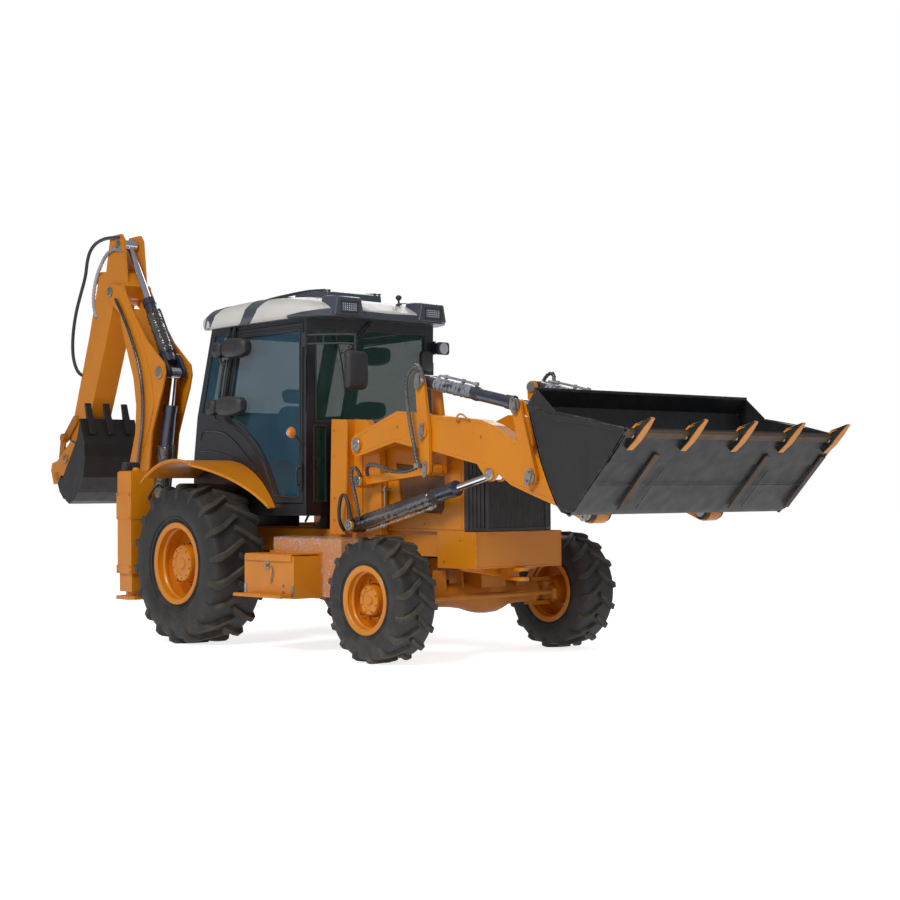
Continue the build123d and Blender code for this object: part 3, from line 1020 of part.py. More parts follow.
DIPPER_OUTLINE = [(-1589.0, 3109.0), (-1650.0, 3230.0), (-1790.0, 3290.0), (-1961.0, 3270.0),
                  (-2081.0, 3243.0),
                  (-2255.0, 2723.0), (-2415.0, 2317.0), (-2570.0, 1923.0), (-2650.0,
                                                                            1600.0), HOE_BUCKET_PIN,
                  (-2500.0, 1530.0), (-2340.0, 1860.0), (-2258.0, 1945.0), (-2171.0, 2131.0), (-1964.0,
                                                                                               2599.0),
                  (-1811.0, 2975.0), (-1680.0, 3010.0)]
TAIL = [(-1589.0, 3109.0), (-1643.0, 3536.0), (-1690.0, 3590.0), (-1876.0, 3588.0), (-1961.0, 3231.0),
        (-1900.0, 3150.0)]
TAIL_PLATE = 26.0
with BuildPart() as dipper:
    add_plate(DIPPER_OUTLINE, HOE_Y, 2 * DIPPER_HALF_W)
    add_round(DIPPER_PIN, HOE_Y, 2 * DIPPER_HALF_W, 110.0)
    add_round(HOE_BUCKET_PIN, HOE_Y, 2 * DIPPER_HALF_W, 76.0)
    add_round(HOE_BUCKET_PIN, HOE_Y, 2 * 150.0, 62.0)
    for side in (-1, 1):
        add_plate(TAIL, HOE_Y + side * (DIPPER_HALF_W - TAIL_PLATE / 2), TAIL_PLATE)
        add_link([(HOE_CYL_BASE, 48.0), ((-2040.0, 3220.0), 60.0), ((-2090.0, 3160.0), 20.0)],
                 HOE_Y + side * 79.0, 28.0)
    add_round(HOE_CYL_BASE, HOE_Y, 2 * 93.0, 26.0)
    add_round(HOE_BUCKET_PIN, HOE_Y, 2 * 200.0, HOE_PIN_R)
    for side in (-1, 1):
        add_round(HOE_BUCKET_PIN, HOE_Y + side * 194.0, 12.0, 40.0)
        add_round(DIPPER_TAIL, HOE_Y + side * (DIPPER_HALF_W + 3.0), 6.0, 60.0)
    add_round(DIPPER_PIN, HOE_Y, 2 * DIPPER_HALF_W + 2.0, 34.0 + PIN_GAP, Mode.SUBTRACT)
    add_round(ROCKER_PIN, HOE_Y, 2 * DIPPER_HALF_W + 2.0, HOE_PIN_R + PIN_GAP, Mode.SUBTRACT)
save(dipper, "dipper")

ROCKER_Y = 124.0
HOE_LINK_Y = 148.0
HOE_EAR_Y = 172.0
HOE_PLATE = 18.0
with BuildPart() as hoe_rocker:
    for side in (-1, 1):
        add_link([(ROCKER_PIN, 44.0), (HOE_LINK_TOP, 44.0)], HOE_Y + side * ROCKER_Y, HOE_PLATE)
        add_round(HOE_LINK_TOP, HOE_Y + side * (ROCKER_Y + 18.0), 36.0, HOE_PIN_R)
        add_round(HOE_LINK_TOP, HOE_Y + side * (HOE_LINK_Y + HOE_PLATE / 2 + 7.0), 12.0, 38.0)
    add_round(ROCKER_PIN, HOE_Y, 2 * ROCKER_Y + HOE_PLATE, HOE_PIN_R)
save(hoe_rocker, "hoe_rocker")

with BuildPart() as hoe_link:
    for side in (-1, 1):
        add_link([(HOE_LINK_TOP, 42.0), (HOE_LINK_LOW, 42.0)], HOE_Y + side * HOE_LINK_Y, HOE_PLATE)
        add_round(HOE_LINK_TOP, HOE_Y + side * HOE_LINK_Y, HOE_PLATE + 2.0, HOE_PIN_R + PIN_GAP,
                  Mode.SUBTRACT)
    add_round(HOE_LINK_LOW, HOE_Y, 2 * (HOE_EAR_Y + 24.0), HOE_PIN_R)
    for side in (-1, 1):
        add_round(HOE_LINK_LOW, HOE_Y + side * (HOE_EAR_Y + HOE_PLATE / 2 + 8.0), 12.0, 38.0)
save(hoe_link, "hoe_link")

with BuildPart() as hoe_barrel:
    add_barrel(HOE_CYL_BASE, HOE_LINK_TOP, HOE_Y, "hoe", 58.0, 46.0, 26.0)
save(hoe_barrel, "hoe_barrel")
with BuildPart() as hoe_rod:
    add_cylinder_rod(HOE_CYL_BASE, HOE_LINK_TOP, HOE_Y, "hoe", 70.0, 42.0, 26.0)
save(hoe_rod, "hoe_rod")

HOE_SHELL = [(-2124.0, 1921.0), (-2046.0, 1687.0), (-2034.0, 1571.0), (-2073.0, 1379.0), (-2160.0, 1240.0),
             (-2258.0, 1161.0), (-2338.0, 1135.0), (-2400.0, 1165.0), (-2445.0, 1220.0), (-2499.0, 1332.0)]
HOE_EAR = [(-2857.0, 1523.0), (-2760.0, 1541.0), (-2581.0, 1664.0), (-2486.0, 1728.0), (-2405.0, 1700.0),
           (-2390.0, 1560.0), (-2440.0, 1330.0), (-2455.0, 1200.0), (-2600.0, 1290.0), (-2774.0, 1327.0),
           (-2830.0, 1321.0), (-2879.0, 1456.0)]
with BuildPart() as hoe_bucket:
    width = 2 * HOE_BUCKET_HALF_W
    add_plate(strip(HOE_SHELL[::-1], HOE_BUCKET_SKIN), HOE_Y, width)
    for side in (-1, 1):
        add_plate(HOE_SHELL + [(-2190.0, 1730.0)], HOE_Y + side * (HOE_BUCKET_HALF_W - 8.0), 16.0)
        add_plate(HOE_EAR, HOE_Y + side * HOE_EAR_Y, HOE_PLATE)
        add_plate([(-2440.0, 1180.0), (-2520.0, 1250.0), (-2560.0, 1330.0), (-2499.0, 1400.0),
                   (-2430.0, 1260.0)],
                  HOE_Y + side * 215.0, 2 * (HOE_BUCKET_HALF_W - 215.0))
        for point in (HOE_BUCKET_PIN, HOE_LINK_LOW):
            add_round(point, HOE_Y + side * HOE_EAR_Y, HOE_PLATE + 2.0, HOE_PIN_R + PIN_GAP, Mode.SUBTRACT)
    for tooth_y in (-190.0, 0.0, 190.0):
        add_plate([(-2075.0, 1860.0), (-2050.0, 1780.0), (-2085.0, 1800.0), (-2130.0, 1900.0),
                   (-2164.0, 2062.0),
                   (-2146.0, 2066.0)], HOE_Y + tooth_y, 58.0)
save(hoe_bucket, "hoe_bucket")
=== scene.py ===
"""Looks of a backhoe loader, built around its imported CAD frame."""

import math

import bmesh
import bpy
from mathutils import Matrix, Vector, noise


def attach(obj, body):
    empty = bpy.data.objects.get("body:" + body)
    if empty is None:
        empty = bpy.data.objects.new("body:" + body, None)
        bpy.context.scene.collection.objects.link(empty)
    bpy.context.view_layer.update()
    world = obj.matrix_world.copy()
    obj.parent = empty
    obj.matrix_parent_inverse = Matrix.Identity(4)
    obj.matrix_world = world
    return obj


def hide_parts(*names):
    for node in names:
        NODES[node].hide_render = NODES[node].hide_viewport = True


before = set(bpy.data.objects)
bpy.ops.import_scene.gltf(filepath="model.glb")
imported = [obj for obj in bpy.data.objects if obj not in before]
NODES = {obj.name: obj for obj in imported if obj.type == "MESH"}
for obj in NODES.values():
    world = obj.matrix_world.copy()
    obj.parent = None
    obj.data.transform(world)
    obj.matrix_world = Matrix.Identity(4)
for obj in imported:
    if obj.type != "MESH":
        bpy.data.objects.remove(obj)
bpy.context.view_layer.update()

# Stations run forward from the rear axle in millimetres, y to the driver's left, z up.
REAR_AXLE_X = -1091
WHEELBASE = 2381
REAR_RADIUS, FRONT_RADIUS = 653, 452
ARM_Y = 560
HOE_Y = -550
SIDES = (("right", -1), ("left", 1))


def at(x, y, z):
    """A point in metres from a station, y and height in millimetres."""
    return Vector((REAR_AXLE_X + x, y, z)) / 1000


# Material nodes
def put(tree, kind, sockets=None, **settings):
    """A shader node with its settings, sockets linked or set."""
    made = tree.nodes.new("ShaderNode" + kind)
    for key, value in settings.items():
        setattr(made, key, value)
    for key, value in (sockets or {}).items():
        if isinstance(value, bpy.types.NodeSocket):
            tree.links.new(value, made.inputs[key])
        else:
            made.inputs[key].default_value = value
    return made


def spread(tree, value, low, high, out_low=0, out_high=1):
    """A value mapped from low..high to out_low..out_high and clamped."""
    return put(tree, "MapRange", {"Value": value, "From Min": low, "From Max": high,
                                  "To Min": out_low, "To Max": out_high}).outputs["Result"]


def times(tree, a, b):
    """The product of two values."""
    return put(tree, "Math", {0: a, 1: b}, operation="MULTIPLY").outputs[0]


def mixed(tree, share, a, b):
    """Colour a turning into colour b by share."""
    return put(tree, "Mix", {0: share, 6: a, 7: b}, data_type="RGBA").outputs[2]


def cloud(tree, scale, detail=4, stretch=None, distortion=0):
    """Noise in object space, stretched along an axis if asked."""
    where = put(tree, "TexCoord").outputs["Object"]
    if stretch:
        where = put(tree, "Mapping", {"Vector": where, "Scale": stretch}).outputs[0]
    return put(tree, "TexNoise", {"Vector": where, "Scale": scale, "Detail": detail,
                                  "Distortion": distortion}).outputs["Fac"]


def surface(name, colour, second, rough, metallic=0, coat=0, grain=(180, 0.05), dust=0,
            dust_colour=(0.33, 0.27, 0.2, 1), wear=None, wear_width=0.004, streaks=0, mud=0):
    """A painted, moulded or bare surface with colour drift, grain, dust, mud and worn edges."""
    mat = bpy.data.materials.new(name)
    mat.use_nodes = True
    tree = mat.node_tree
    shader = tree.nodes["Principled BSDF"]
    drift = spread(tree, cloud(tree, 1.9, 5), 0.35, 0.65)
    base = mixed(tree, drift, colour, second)
    fine = cloud(tree, grain[0], 3)
    blotch = cloud(tree, 11, 6)
    if streaks:
        run = spread(tree, cloud(tree, 9, 5, (1, 1, 0.12)), 0.55, 0.75, 0, streaks)
        base = mixed(tree, run, base, dust_colour)
    if dust:
        normal = put(tree, "NewGeometry").outputs["Normal"]
        up = put(tree, "SeparateXYZ", {0: normal}).outputs[2]
        lie = times(tree, spread(tree, up, 0.2, 0.95), spread(tree, blotch, 0.35, 0.7, 0.25, 1))
        base = mixed(tree, times(tree, lie, dust), base, dust_colour)
    if mud:
        height = put(tree, "SeparateXYZ", {0: put(tree, "TexCoord").outputs["Object"]}).outputs[2]
        low = times(tree, spread(tree, height, 1.1, 0.2), spread(tree, blotch, 0.42, 0.68))
        base = mixed(tree, times(tree, low, mud), base, dust_colour)
    if wear:
        soft = put(tree, "Bevel", {"Radius": wear_width}, samples=4).outputs[0]
        hard = put(tree, "NewGeometry").outputs["Normal"]
        turn = put(tree, "VectorMath", {0: soft, 1: hard}, operation="DOT_PRODUCT").outputs["Value"]
        edge = times(tree, spread(tree, turn, 0.985, 0.9), spread(tree, cloud(tree, 26, 5), 0.48, 0.62))
        base = mixed(tree, edge, base, wear)
    tree.links.new(base, shader.inputs["Base Color"])
    roughness = spread(tree, blotch, 0.3, 0.7, rough - 0.07, rough + 0.09)
    tree.links.new(roughness, shader.inputs["Roughness"])
    shader.inputs["Metallic"].default_value = metallic
    shader.inputs["Coat Weight"].default_value = coat
    shader.inputs["Coat Roughness"].default_value = 0.12
    bump = put(tree, "Bump", {"Height": fine, "Strength": grain[1], "Distance": 0.002})
    tree.links.new(bump.outputs[0], shader.inputs["Normal"])
    return mat


def clear_sheet(name, colour, second, alpha, rough, wrinkle, scale=14, lines=0):
    """A see-through sheet, glass or film, with uneven colour and wrinkles; on the glass the uneven colour is a painted
    reflection.
    """
    mat = surface(name, colour, second, rough, grain=(scale, wrinkle))
    tree = mat.node_tree
    shader = tree.nodes["Principled BSDF"]
    shader.inputs["Alpha"].default_value = alpha
    if lines:
        crease = spread(tree, cloud(tree, scale * 2, 3, (1, 1, 0.5), 1.5), 0.55, 0.66, alpha, lines)
        tree.links.new(crease, shader.inputs["Alpha"])
    return mat


ORANGE = surface("orange_paint", (0.74, 0.25, 0.002, 1), (0.66, 0.22, 0.002, 1), 0.40, coat=0.12,
                 grain=(240, 0.03), dust=0.10, dust_colour=(0.50, 0.24, 0.06, 1), wear=(0.28, 0.08, 0.01, 1),
                 mud=0.06)
CASTING = surface("orange_casting", (0.58, 0.19, 0.002, 1), (0.44, 0.145, 0.002, 1), 0.52, grain=(420, 0.35),
                  dust=0.14, dust_colour=(0.22, 0.12, 0.04, 1), mud=0.22)
BLACK = surface("black_paint", (0.008, 0.009, 0.012, 1), (0.013, 0.014, 0.018, 1), 0.36, coat=0.2,
                grain=(260, 0.04), dust=0.12, dust_colour=(0.09, 0.08, 0.07, 1))
BUCKET = surface("bucket_paint", (0.006, 0.0065, 0.008, 1), (0.011, 0.010, 0.010, 1), 0.52, grain=(150, 0.1),
                 dust=0.12, dust_colour=(0.12, 0.1, 0.08, 1), wear=(0.12, 0.11, 0.1, 1), wear_width=0.006, streaks=0.1)
RUST = surface("worn_edge", (0.10, 0.052, 0.024, 1), (0.045, 0.03, 0.022, 1), 0.62, grain=(130, 0.4), dust=0.2,
               wear=(0.05, 0.04, 0.04, 1))
RUBBER = surface("tyre_rubber", (0.014, 0.014, 0.0155, 1), (0.021, 0.021, 0.022, 1), 0.66, grain=(320, 0.25),
                 dust=0.35, dust_colour=(0.13, 0.11, 0.085, 1), mud=0.35)
TREAD = surface("tread_face", (0.028, 0.025, 0.022, 1), (0.05, 0.044, 0.036, 1), 0.75, grain=(320, 0.4), dust=0.4,
                dust_colour=(0.17, 0.14, 0.1, 1), mud=0.6)
ROOF = surface("roof_shell", (0.72, 0.70, 0.67, 1), (0.64, 0.62, 0.59, 1), 0.46, coat=0.1, grain=(90, 0.05),
               dust=0.35, dust_colour=(0.42, 0.37, 0.31, 1))
SLATE = surface("roof_band", (0.045, 0.055, 0.075, 1), (0.06, 0.07, 0.09, 1), 0.4, coat=0.2, grain=(200, 0.06),
                dust=0.2)
PLASTIC = surface("dark_plastic", (0.02, 0.02, 0.022, 1), (0.03, 0.03, 0.033, 1), 0.5, grain=(700, 0.4), dust=0.2)
MESH = surface("dark_mesh", (0.013, 0.013, 0.013, 1), (0.03, 0.026, 0.022, 1), 0.55, grain=(300, 0.2), dust=0.3,
               dust_colour=(0.2, 0.14, 0.09, 1))
HOSE = surface("black_hose", (0.018, 0.018, 0.02, 1), (0.035, 0.035, 0.037, 1), 0.48, grain=(500, 0.4), dust=0.3)
BARREL = surface("cylinder_paint", (0.016, 0.019, 0.04, 1), (0.028, 0.032, 0.06, 1), 0.3, coat=0.5, grain=(60, 0.15),
                 dust=0.2)
CHROME = surface("chromed_rod", (0.72, 0.73, 0.76, 1), (0.64, 0.66, 0.70, 1), 0.12, metallic=1, grain=(900, 0.03))
STEEL = surface("steel_pin", (0.42, 0.40, 0.37, 1), (0.28, 0.25, 0.22, 1), 0.38, metallic=0.9, grain=(300, 0.15))
IRON = surface("engine_iron", (0.04, 0.04, 0.042, 1), (0.065, 0.06, 0.058, 1), 0.6, metallic=0.3, grain=(260, 0.4),
               dust=0.3)
FABRIC = surface("seat_fabric", (0.022, 0.022, 0.026, 1), (0.035, 0.035, 0.04, 1), 0.85, grain=(900, 0.6), dust=0.1)
# The glass colour drifts between a darker and a lighter teal: a painted reflection over the glass's dark tint
GLASS = clear_sheet("tinted_glass", (0.020, 0.075, 0.125, 1), (0.035, 0.115, 0.165, 1), 0.48, 0.05, 0, 3)
# Panes that face forward get a greener, darker base colour: a painted reflection
pane = GLASS.node_tree
facing_for_painted_reflection = put(pane, "SeparateXYZ", {0: put(pane, "NewGeometry").outputs["Normal"]}).outputs[0]
tint_and_painted_reflection = pane.nodes["Principled BSDF"].inputs["Base Color"].links[0].from_socket
pane.links.new(mixed(pane, spread(pane, facing_for_painted_reflection, 0.3, 0.8), tint_and_painted_reflection, (0.012, 0.062, 0.046, 1)),
               pane.nodes["Principled BSDF"].inputs["Base Color"])
FILM = clear_sheet("wrap_film", (0.62, 0.62, 0.62, 1), (0.85, 0.85, 0.84, 1), 0.16, 0.2, 0.9, 30, 0.75)
WHITE_WRAP = surface("white_wrap", (0.50, 0.51, 0.53, 1), (0.20, 0.21, 0.23, 1), 0.4, grain=(55, 1))
DARK_WRAP = surface("dark_wrap", (0.018, 0.02, 0.028, 1), (0.12, 0.11, 0.10, 1), 0.25, coat=0.6, grain=(38, 1))
LENS = surface("lamp_lens", (0.75, 0.78, 0.8, 1), (0.6, 0.63, 0.66, 1), 0.12, coat=1, grain=(60, 0.3))
AMBER = surface("amber_lens", (0.85, 0.25, 0.02, 1), (0.7, 0.18, 0.02, 1), 0.15, coat=1, grain=(90, 0.3))
RED = surface("red_lens", (0.5, 0.01, 0.01, 1), (0.4, 0.01, 0.01, 1), 0.15, coat=1, grain=(90, 0.3))
MIRROR = surface("mirror_glass", (0.55, 0.58, 0.6, 1), (0.5, 0.53, 0.56, 1), 0.08, metallic=1, grain=(20, 0))


class Shape:
    """Geometry in millimetres gathered into one piece."""

    def __init__(self):
        self.bm = bmesh.new()

    def skin(self, rings, closed=True):
        """Faces between rings of points, in metres, each ring closed on itself."""
        rows = [[self.bm.verts.new(p) for p in ring] for ring in rings]
        count = len(rows[0])
        pairs = list(zip(rows, rows[1:]))
        if closed == "loop":
            pairs.append((rows[-1], rows[0]))
        for a, b in pairs:
            for i in range(count):
                j = (i + 1) % count
                if closed or j:
                    self.bm.faces.new((a[i], a[j], b[j], b[i]))
        if closed != "loop":
            self.bm.faces.new(rows[0][::-1])
            self.bm.faces.new(rows[-1])
        return self

    def box(self, x, y, z):
        """A box from (low, high) pairs."""
        low, high = (at(x[0], y[0], z[0]), at(x[1], y[1], z[1]))
        low, high = ([min(a, b) for a, b in zip(low, high)], [max(a, b) for a, b in zip(low, high)])
        ring = [(low[0], low[1]), (high[0], low[1]), (high[0], high[1]), (low[0], high[1])]
        return self.skin([[Vector((a, b, c)) for a, b in ring] for c in (low[2], high[2])])

    def plate(self, outline, y, thick):
        """A side-view outline, thick across y."""
        return self.skin([[at(px, y + s * thick / 2, pz) for px, pz in outline] for s in (1, -1)])

    def slab(self, outline, low, high):
        """A plan-view outline of (x, y) between two heights."""
        return self.skin([[at(px, py, z) for px, py in outline] for z in (low, high)])

    def lathe(self, origin, axis, profile, count=32, open_ring=False):
        """A turned solid about an axis from (distance, radius) points in millimetres."""
        base = at(*origin)
        axis = Vector(axis).normalized()
        side = axis.orthogonal().normalized()
        up = axis.cross(side)
        rings = []
        for along, radius in profile:
            rings.append([base + axis * (along / 1000) + (side * math.cos(t) + up * math.sin(t)) * (radius / 1000)
                          for t in (math.tau * i / count for i in range(count))])
        return self.skin(rings, closed="loop" if open_ring else True)

    def rod(self, a, b, radius, count=20):
        """A round bar between two points."""
        run = (at(*b) - at(*a))
        length = run.length * 1000
        edge = min(radius * 0.15, 3)
        profile = [(0, radius - edge), (edge, radius), (length - edge, radius), (length, radius - edge)]
        return self.lathe(a, run, profile, count)

    def bolt(self, point, axis, radius, height=None):
        """A hexagon head on a washer."""
        height = height or 0.8 * radius
        self.lathe(point, axis, [(0, radius * 1.45), (0.18 * radius, radius * 1.45)], 20)
        return self.lathe(point, axis, [(0.18 * radius, radius), (height, radius), (height * 1.12, radius * 0.88)], 6)

    def tube(self, points, radius, count=8, steps=6):
        """A smooth round tube through points."""
        path = smooth([at(*p) for p in points], steps)
        rings = []
        side = None
        for i, here in enumerate(path):
            run = (path[min(i + 1, len(path) - 1)] - path[max(i - 1, 0)]).normalized()
            side = (side - run * side.dot(run)).normalized() if side else run.orthogonal().normalized()
            up = run.cross(side)
            rings.append([here + (side * math.cos(t) + up * math.sin(t)) * (radius / 1000)
                          for t in (math.tau * k / count for k in range(count))])
        return self.skin(rings)

    def bead(self, line, y, radius, count=8, steps=4):
        """A tube along a side-view line at y."""
        return self.tube([(px, y, pz) for px, pz in line], radius, count, steps)

    def plain(self, name):
        """The geometry as an object, with nothing set on it yet."""
        bmesh.ops.recalc_face_normals(self.bm, faces=self.bm.faces)
        mesh = bpy.data.meshes.new(name)
        self.bm.to_mesh(mesh)
        self.bm.free()
        obj = bpy.data.objects.new(name, mesh)
        bpy.context.scene.collection.objects.link(obj)
        return obj

    def done(self, name, mat, body="machine", slot=None, bevel=0, hard=35, replaces=()):
        """The piece as an object that rides on a body; the slot argument is not used."""
        obj = self.plain(name)
        obj.data.materials.append(mat)
        shade_smooth(obj.data)
        obj.data.set_sharp_from_angle(angle=math.radians(hard))
        if bevel:
            soften(obj, bevel)
        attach(obj, body)
        if replaces:
            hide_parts(*replaces)
        return obj


def shade_smooth(mesh):
    """Sets every face of a mesh smooth."""
    for face in mesh.polygons:
        face.use_smooth = True


def soften(obj, width):
    """Rounds an object's sharp edges by width in millimetres."""
    mod = obj.modifiers.new("soft_edges", "BEVEL")
    mod.width = width / 1000
    mod.segments = 2
    mod.limit_method = "ANGLE"
    mod.angle_limit = math.radians(38)
    mod.harden_normals = True
    mod.use_clamp_overlap = True


def smooth(points, steps):
    """A Catmull-Rom path through points."""
    path = []
    last = len(points) - 1
    for i in range(last):
        p0, p1, p2, p3 = points[max(i - 1, 0)], points[i], points[i + 1], points[min(i + 2, last)]
        for k in range(steps):
            t = k / steps
            path.append(0.5 * (2 * p1 + (p2 - p0) * t + (2 * p0 - 5 * p1 + 4 * p2 - p3) * t * t
                               + (3 * p1 - p0 - 3 * p2 + p3) * t ** 3))
    path.append(points[-1])
    return path


def toward(a, b, distance):
    """The side-view point at a distance from a on the way to b."""
    span = math.hypot(b[0] - a[0], b[1] - a[1])
    return (a[0] + (b[0] - a[0]) * distance / span, a[1] + (b[1] - a[1]) * distance / span)


# Finishes of the CAD nodes
FINISHES = (
    (ORANGE, ("main_frame", "hood", "side_boxes", "toolbox_lid", "rear_frame", "rear_fenders", "lift_arms",
              "rear_levers", "front_levers", "bucket_links", "levelling_links", "boom", "dipper", "kingpost",
              "carriage", "stabiliser_leg_right", "stabiliser_leg_left", "rim_front_right", "rim_front_left",
              "rim_rear_right", "rim_rear_left")),
    (CASTING, ("front_axle", "rear_axle", "knuckle_right", "knuckle_left", "tie_rod", "hoe_rocker", "hoe_link")),
    (BLACK, ("cab_frame", "door_right", "door_left")),
    (BUCKET, ("loader_bucket", "hoe_bucket")),
    (RUBBER, ("tyre_front_right", "tyre_front_left", "tyre_rear_right", "tyre_rear_left")),
    (ROOF, ("cab_roof",)),
    (GLASS, ("cab_glass", "door_glass_right", "door_glass_left")),
    (PLASTIC, ("cab_controls", "lamps_mirrors")),
    (MESH, ("grille",)),
    (BARREL, ("lift_barrels", "tilt_barrels", "boom_barrel", "dipper_barrel", "hoe_barrel")),
    (CHROME, ("lift_rods", "tilt_rods", "boom_rod", "dipper_rod", "hoe_rod")),
    (STEEL, ("tilt_base_pins", "lever_pins", "lever_top_pins", "bucket_pins")),
    (IRON, ("drivetrain",)),
    (FABRIC, ("seat_cushions",)),
)
for mat, names in FINISHES:
    for name in names:
        if not NODES[name].material_slots:
            NODES[name].data.materials.append(mat)
        for place in NODES[name].material_slots:
            place.material = mat

# Wheels: end, axle station, tyre radius, half width, bead radius, track, lugs a side, lug depth, hub bolts
WHEELS = (
    ("rear", 0, REAR_RADIUS, 255, 305, 914, 18, 40, 10),
    ("front", WHEELBASE, FRONT_RADIUS, 170, 222, 905, 16, 24, 8),
)


def tyre_profile(radius, half, bead, depth):
    """The carcass section as (y, radius) from the inner bead over the crown to the outer one."""
    wall = radius - bead
    side = [(0.80, bead + 1), (0.815, bead + 0.10 * wall), (0.90, bead + 0.17 * wall), (0.955, bead + 0.30 * wall),
            (0.985, bead + 0.46 * wall), (0.975, bead + 0.62 * wall), (0.93, bead + 0.76 * wall),
            (0.84, radius - 1.25 * depth), (0.55, radius - 1.03 * depth)]
    return ([(-half * y, r) for y, r in side] + [(0, radius - depth)] + [(half * y, r) for y, r in side[::-1]])


for end, station, radius, half, bead, track, lugs, depth, bolts in WHEELS:
    for side_name, side in SIDES:
        body = f"wheel_{end}_{side_name}"
        centre = (station, side * track, radius)
        tyre = Shape()
        outline = tyre_profile(radius, half, bead, depth)
        path = smooth([Vector((y, r, 0)) for y, r in outline], 3)
        inner = [(half * 0.78, bead + 0.2 * (radius - bead)), (-half * 0.78, bead + 0.2 * (radius - bead))]
        tyre.lathe(centre, (0, side, 0), [(p[0], p[1]) for p in path] + inner, 96, open_ring=True)
        for share, out in ((0.14, 0.9), (0.22, 0.94)):
            ring_y, ring_r = half * out, bead + share * (radius - bead)
            for s in (1, -1):
                tyre.lathe(centre, (0, side * s, 0), [(ring_y - 4, ring_r - 3), (ring_y + 3, ring_r - 3),
                                                      (ring_y + 3, ring_r + 3), (ring_y - 4, ring_r + 3)], 64, True)
        tyre.done(f"tyre_carcass_{end}_{side_name}", RUBBER, body,
                  replaces=(f"tyre_{end}_{side_name}",))
        # lug: share of half width, turn in pitches, half thickness in pitches at the top, top radius
        tread = Shape()
        pitch = math.tau / lugs
        shoulder = bead + 0.70 * (radius - bead)
        rows = ((-0.10, 0.62, 0.15, radius), (0.22, 0.40, 0.16, radius), (0.52, 0.16, 0.17, radius),
                (0.80, 0.02, 0.19, radius - 1), (0.93, 0, 0.19, radius - 0.45 * depth),
                (0.985, 0, 0.16, shoulder + 0.3 * (radius - shoulder)), (0.985, 0, 0.13, shoulder - 6))
        for s in (1, -1):
            for k in range(lugs):
                start = pitch * (k + (0.25 if s > 0 else 0.75))
                rings = []
                for share, turn, thick, top in rows:
                    root = max(min(top - depth - 6, top - 12), bead + 0.5 * (radius - bead))
                    ring = []
                    for lean, r in ((-1.35, root), (-1, top), (1, top), (1.35, root)):
                        angle = start + pitch * (turn + lean * thick * 0.62)
                        drop = 0.94 if r == root and share > 0.9 else 1
                        ring.append(at(station, side * track, radius)
                                    + Vector((r * math.cos(angle), side * s * share * half * drop,
                                              r * math.sin(angle))) / 1000)
                    rings.append(ring)
                tread.skin(rings)
        tread.done(f"tyre_lugs_{end}_{side_name}", TREAD, body, bevel=4, hard=50)
        # rim: rolled edges, hub cap, bolts and valve
        hub_r = 0.52 * bead
        disc = 0.12 * half + 11
        hub = 0.62 * half
        rim = Shape()
        for s in (1, -1):
            rim.lathe(centre, (0, side * s, 0), [(half * 0.80 + 6, bead - 16), (half * 0.80 + 6, bead + 24),
                                                 (half * 0.80 + 15, bead + 31), (half * 0.80 + 22, bead + 24),
                                                 (half * 0.80 + 20, bead - 8), (half * 0.80 + 12, bead - 18)], 64, True)
            rim.lathe(centre, (0, side * s, 0), [(half * 0.44, bead - 14), (half * 0.52, bead - 26),
                                                 (half * 0.60, bead - 26), (half * 0.66, bead - 14)], 64, True)
        rim.lathe(centre, (0, side, 0), [(disc, bead - 20), (disc + 8, bead - 34), (disc + 10, hub_r + 60),
                                         (disc + 26, hub_r + 34), (disc + 30, hub_r + 8), (disc + 8, hub_r)], 64, True)
        rim.lathe(centre, (0, side, 0), [(hub - 2, hub_r * 0.90), (hub + 10, hub_r * 0.88), (hub + 12, hub_r * 0.62),
                                         (hub + 4, hub_r * 0.60), (hub + 4, hub_r * 0.30), (hub + 14, hub_r * 0.28),
                                         (hub + 16, 4)], 48)
        rim.done(f"rim_rings_{end}_{side_name}", ORANGE, body, bevel=1.5)
        nuts = Shape()
        for k in range(bolts):
            angle = math.tau * (k + 0.5) / bolts
            for circle, face, width, height in ((hub_r + 24, disc + 28, 11, 16), (hub_r * 0.76, hub + 10, 6.5, 7)):
                spot = (station + circle * math.cos(angle), side * (track + face), radius + circle * math.sin(angle))
                nuts.bolt(spot, (0, side, 0), width, height)
        nuts.done(f"rim_nuts_{end}_{side_name}", CASTING, body)
        valve = Shape()
        valve.tube([(station - bead * 0.62, side * (track + disc), radius - bead * 0.5),
                    (station - bead * 0.66, side * (track + disc + 35), radius - bead * 0.5),
                    (station - bead * 0.60, side * (track + disc + 50), radius - bead * 0.42)], 5)
        valve.done(f"valve_{end}_{side_name}", STEEL, body)

# Roof shell: crown height and half width by station
CROWN = ((-366, 2714), (-300, 2770), (-200, 2798), (60, 2818), (300, 2828), (600, 2822),
         (850, 2808), (1150, 2762), (1300, 2700), (1372, 2664), (1385, 2612))
EAVE = ((-366, 575), (-300, 672), (-200, 696), (60, 706), (300, 706), (600, 706),
        (850, 706), (1150, 702), (1300, 645), (1372, 560), (1385, 545))
ROOF_LOW = 2602


def between(table, x):
    """The value of a table of (x, value) rows at x."""
    for (xa, a), (xb, b) in zip(table, table[1:]):
        if x <= xb:
            return a + (b - a) * (x - xa) / (xb - xa)
    return table[-1][1]


def roof_half(x, side, lift=0):
    """The roof's section at a station as (y, z) points from the eave to the crown."""
    half, top = between(EAVE, x), between(CROWN, x)
    rise = top - ROOF_LOW
    low = ROOF_LOW + (40 if x < -300 else 0)
    points = [(half - 18, low), (half - 2, low + 0.14 * rise), (half, low + 0.36 * rise),
              (half - 10, low + 0.55 * rise), (half - 0.10 * half, ROOF_LOW + 0.80 * rise),
              (half - 0.26 * half, ROOF_LOW + 0.90 * rise), (0.45 * half, top - 6), (0, top)]
    path = smooth([Vector((y, z, 0)) for y, z in points], 3)
    return [(side * (p[0] + (lift if p[1] < top - 20 else 0)), p[1] + (lift if p[1] > low + 5 else 0)) for p in path]


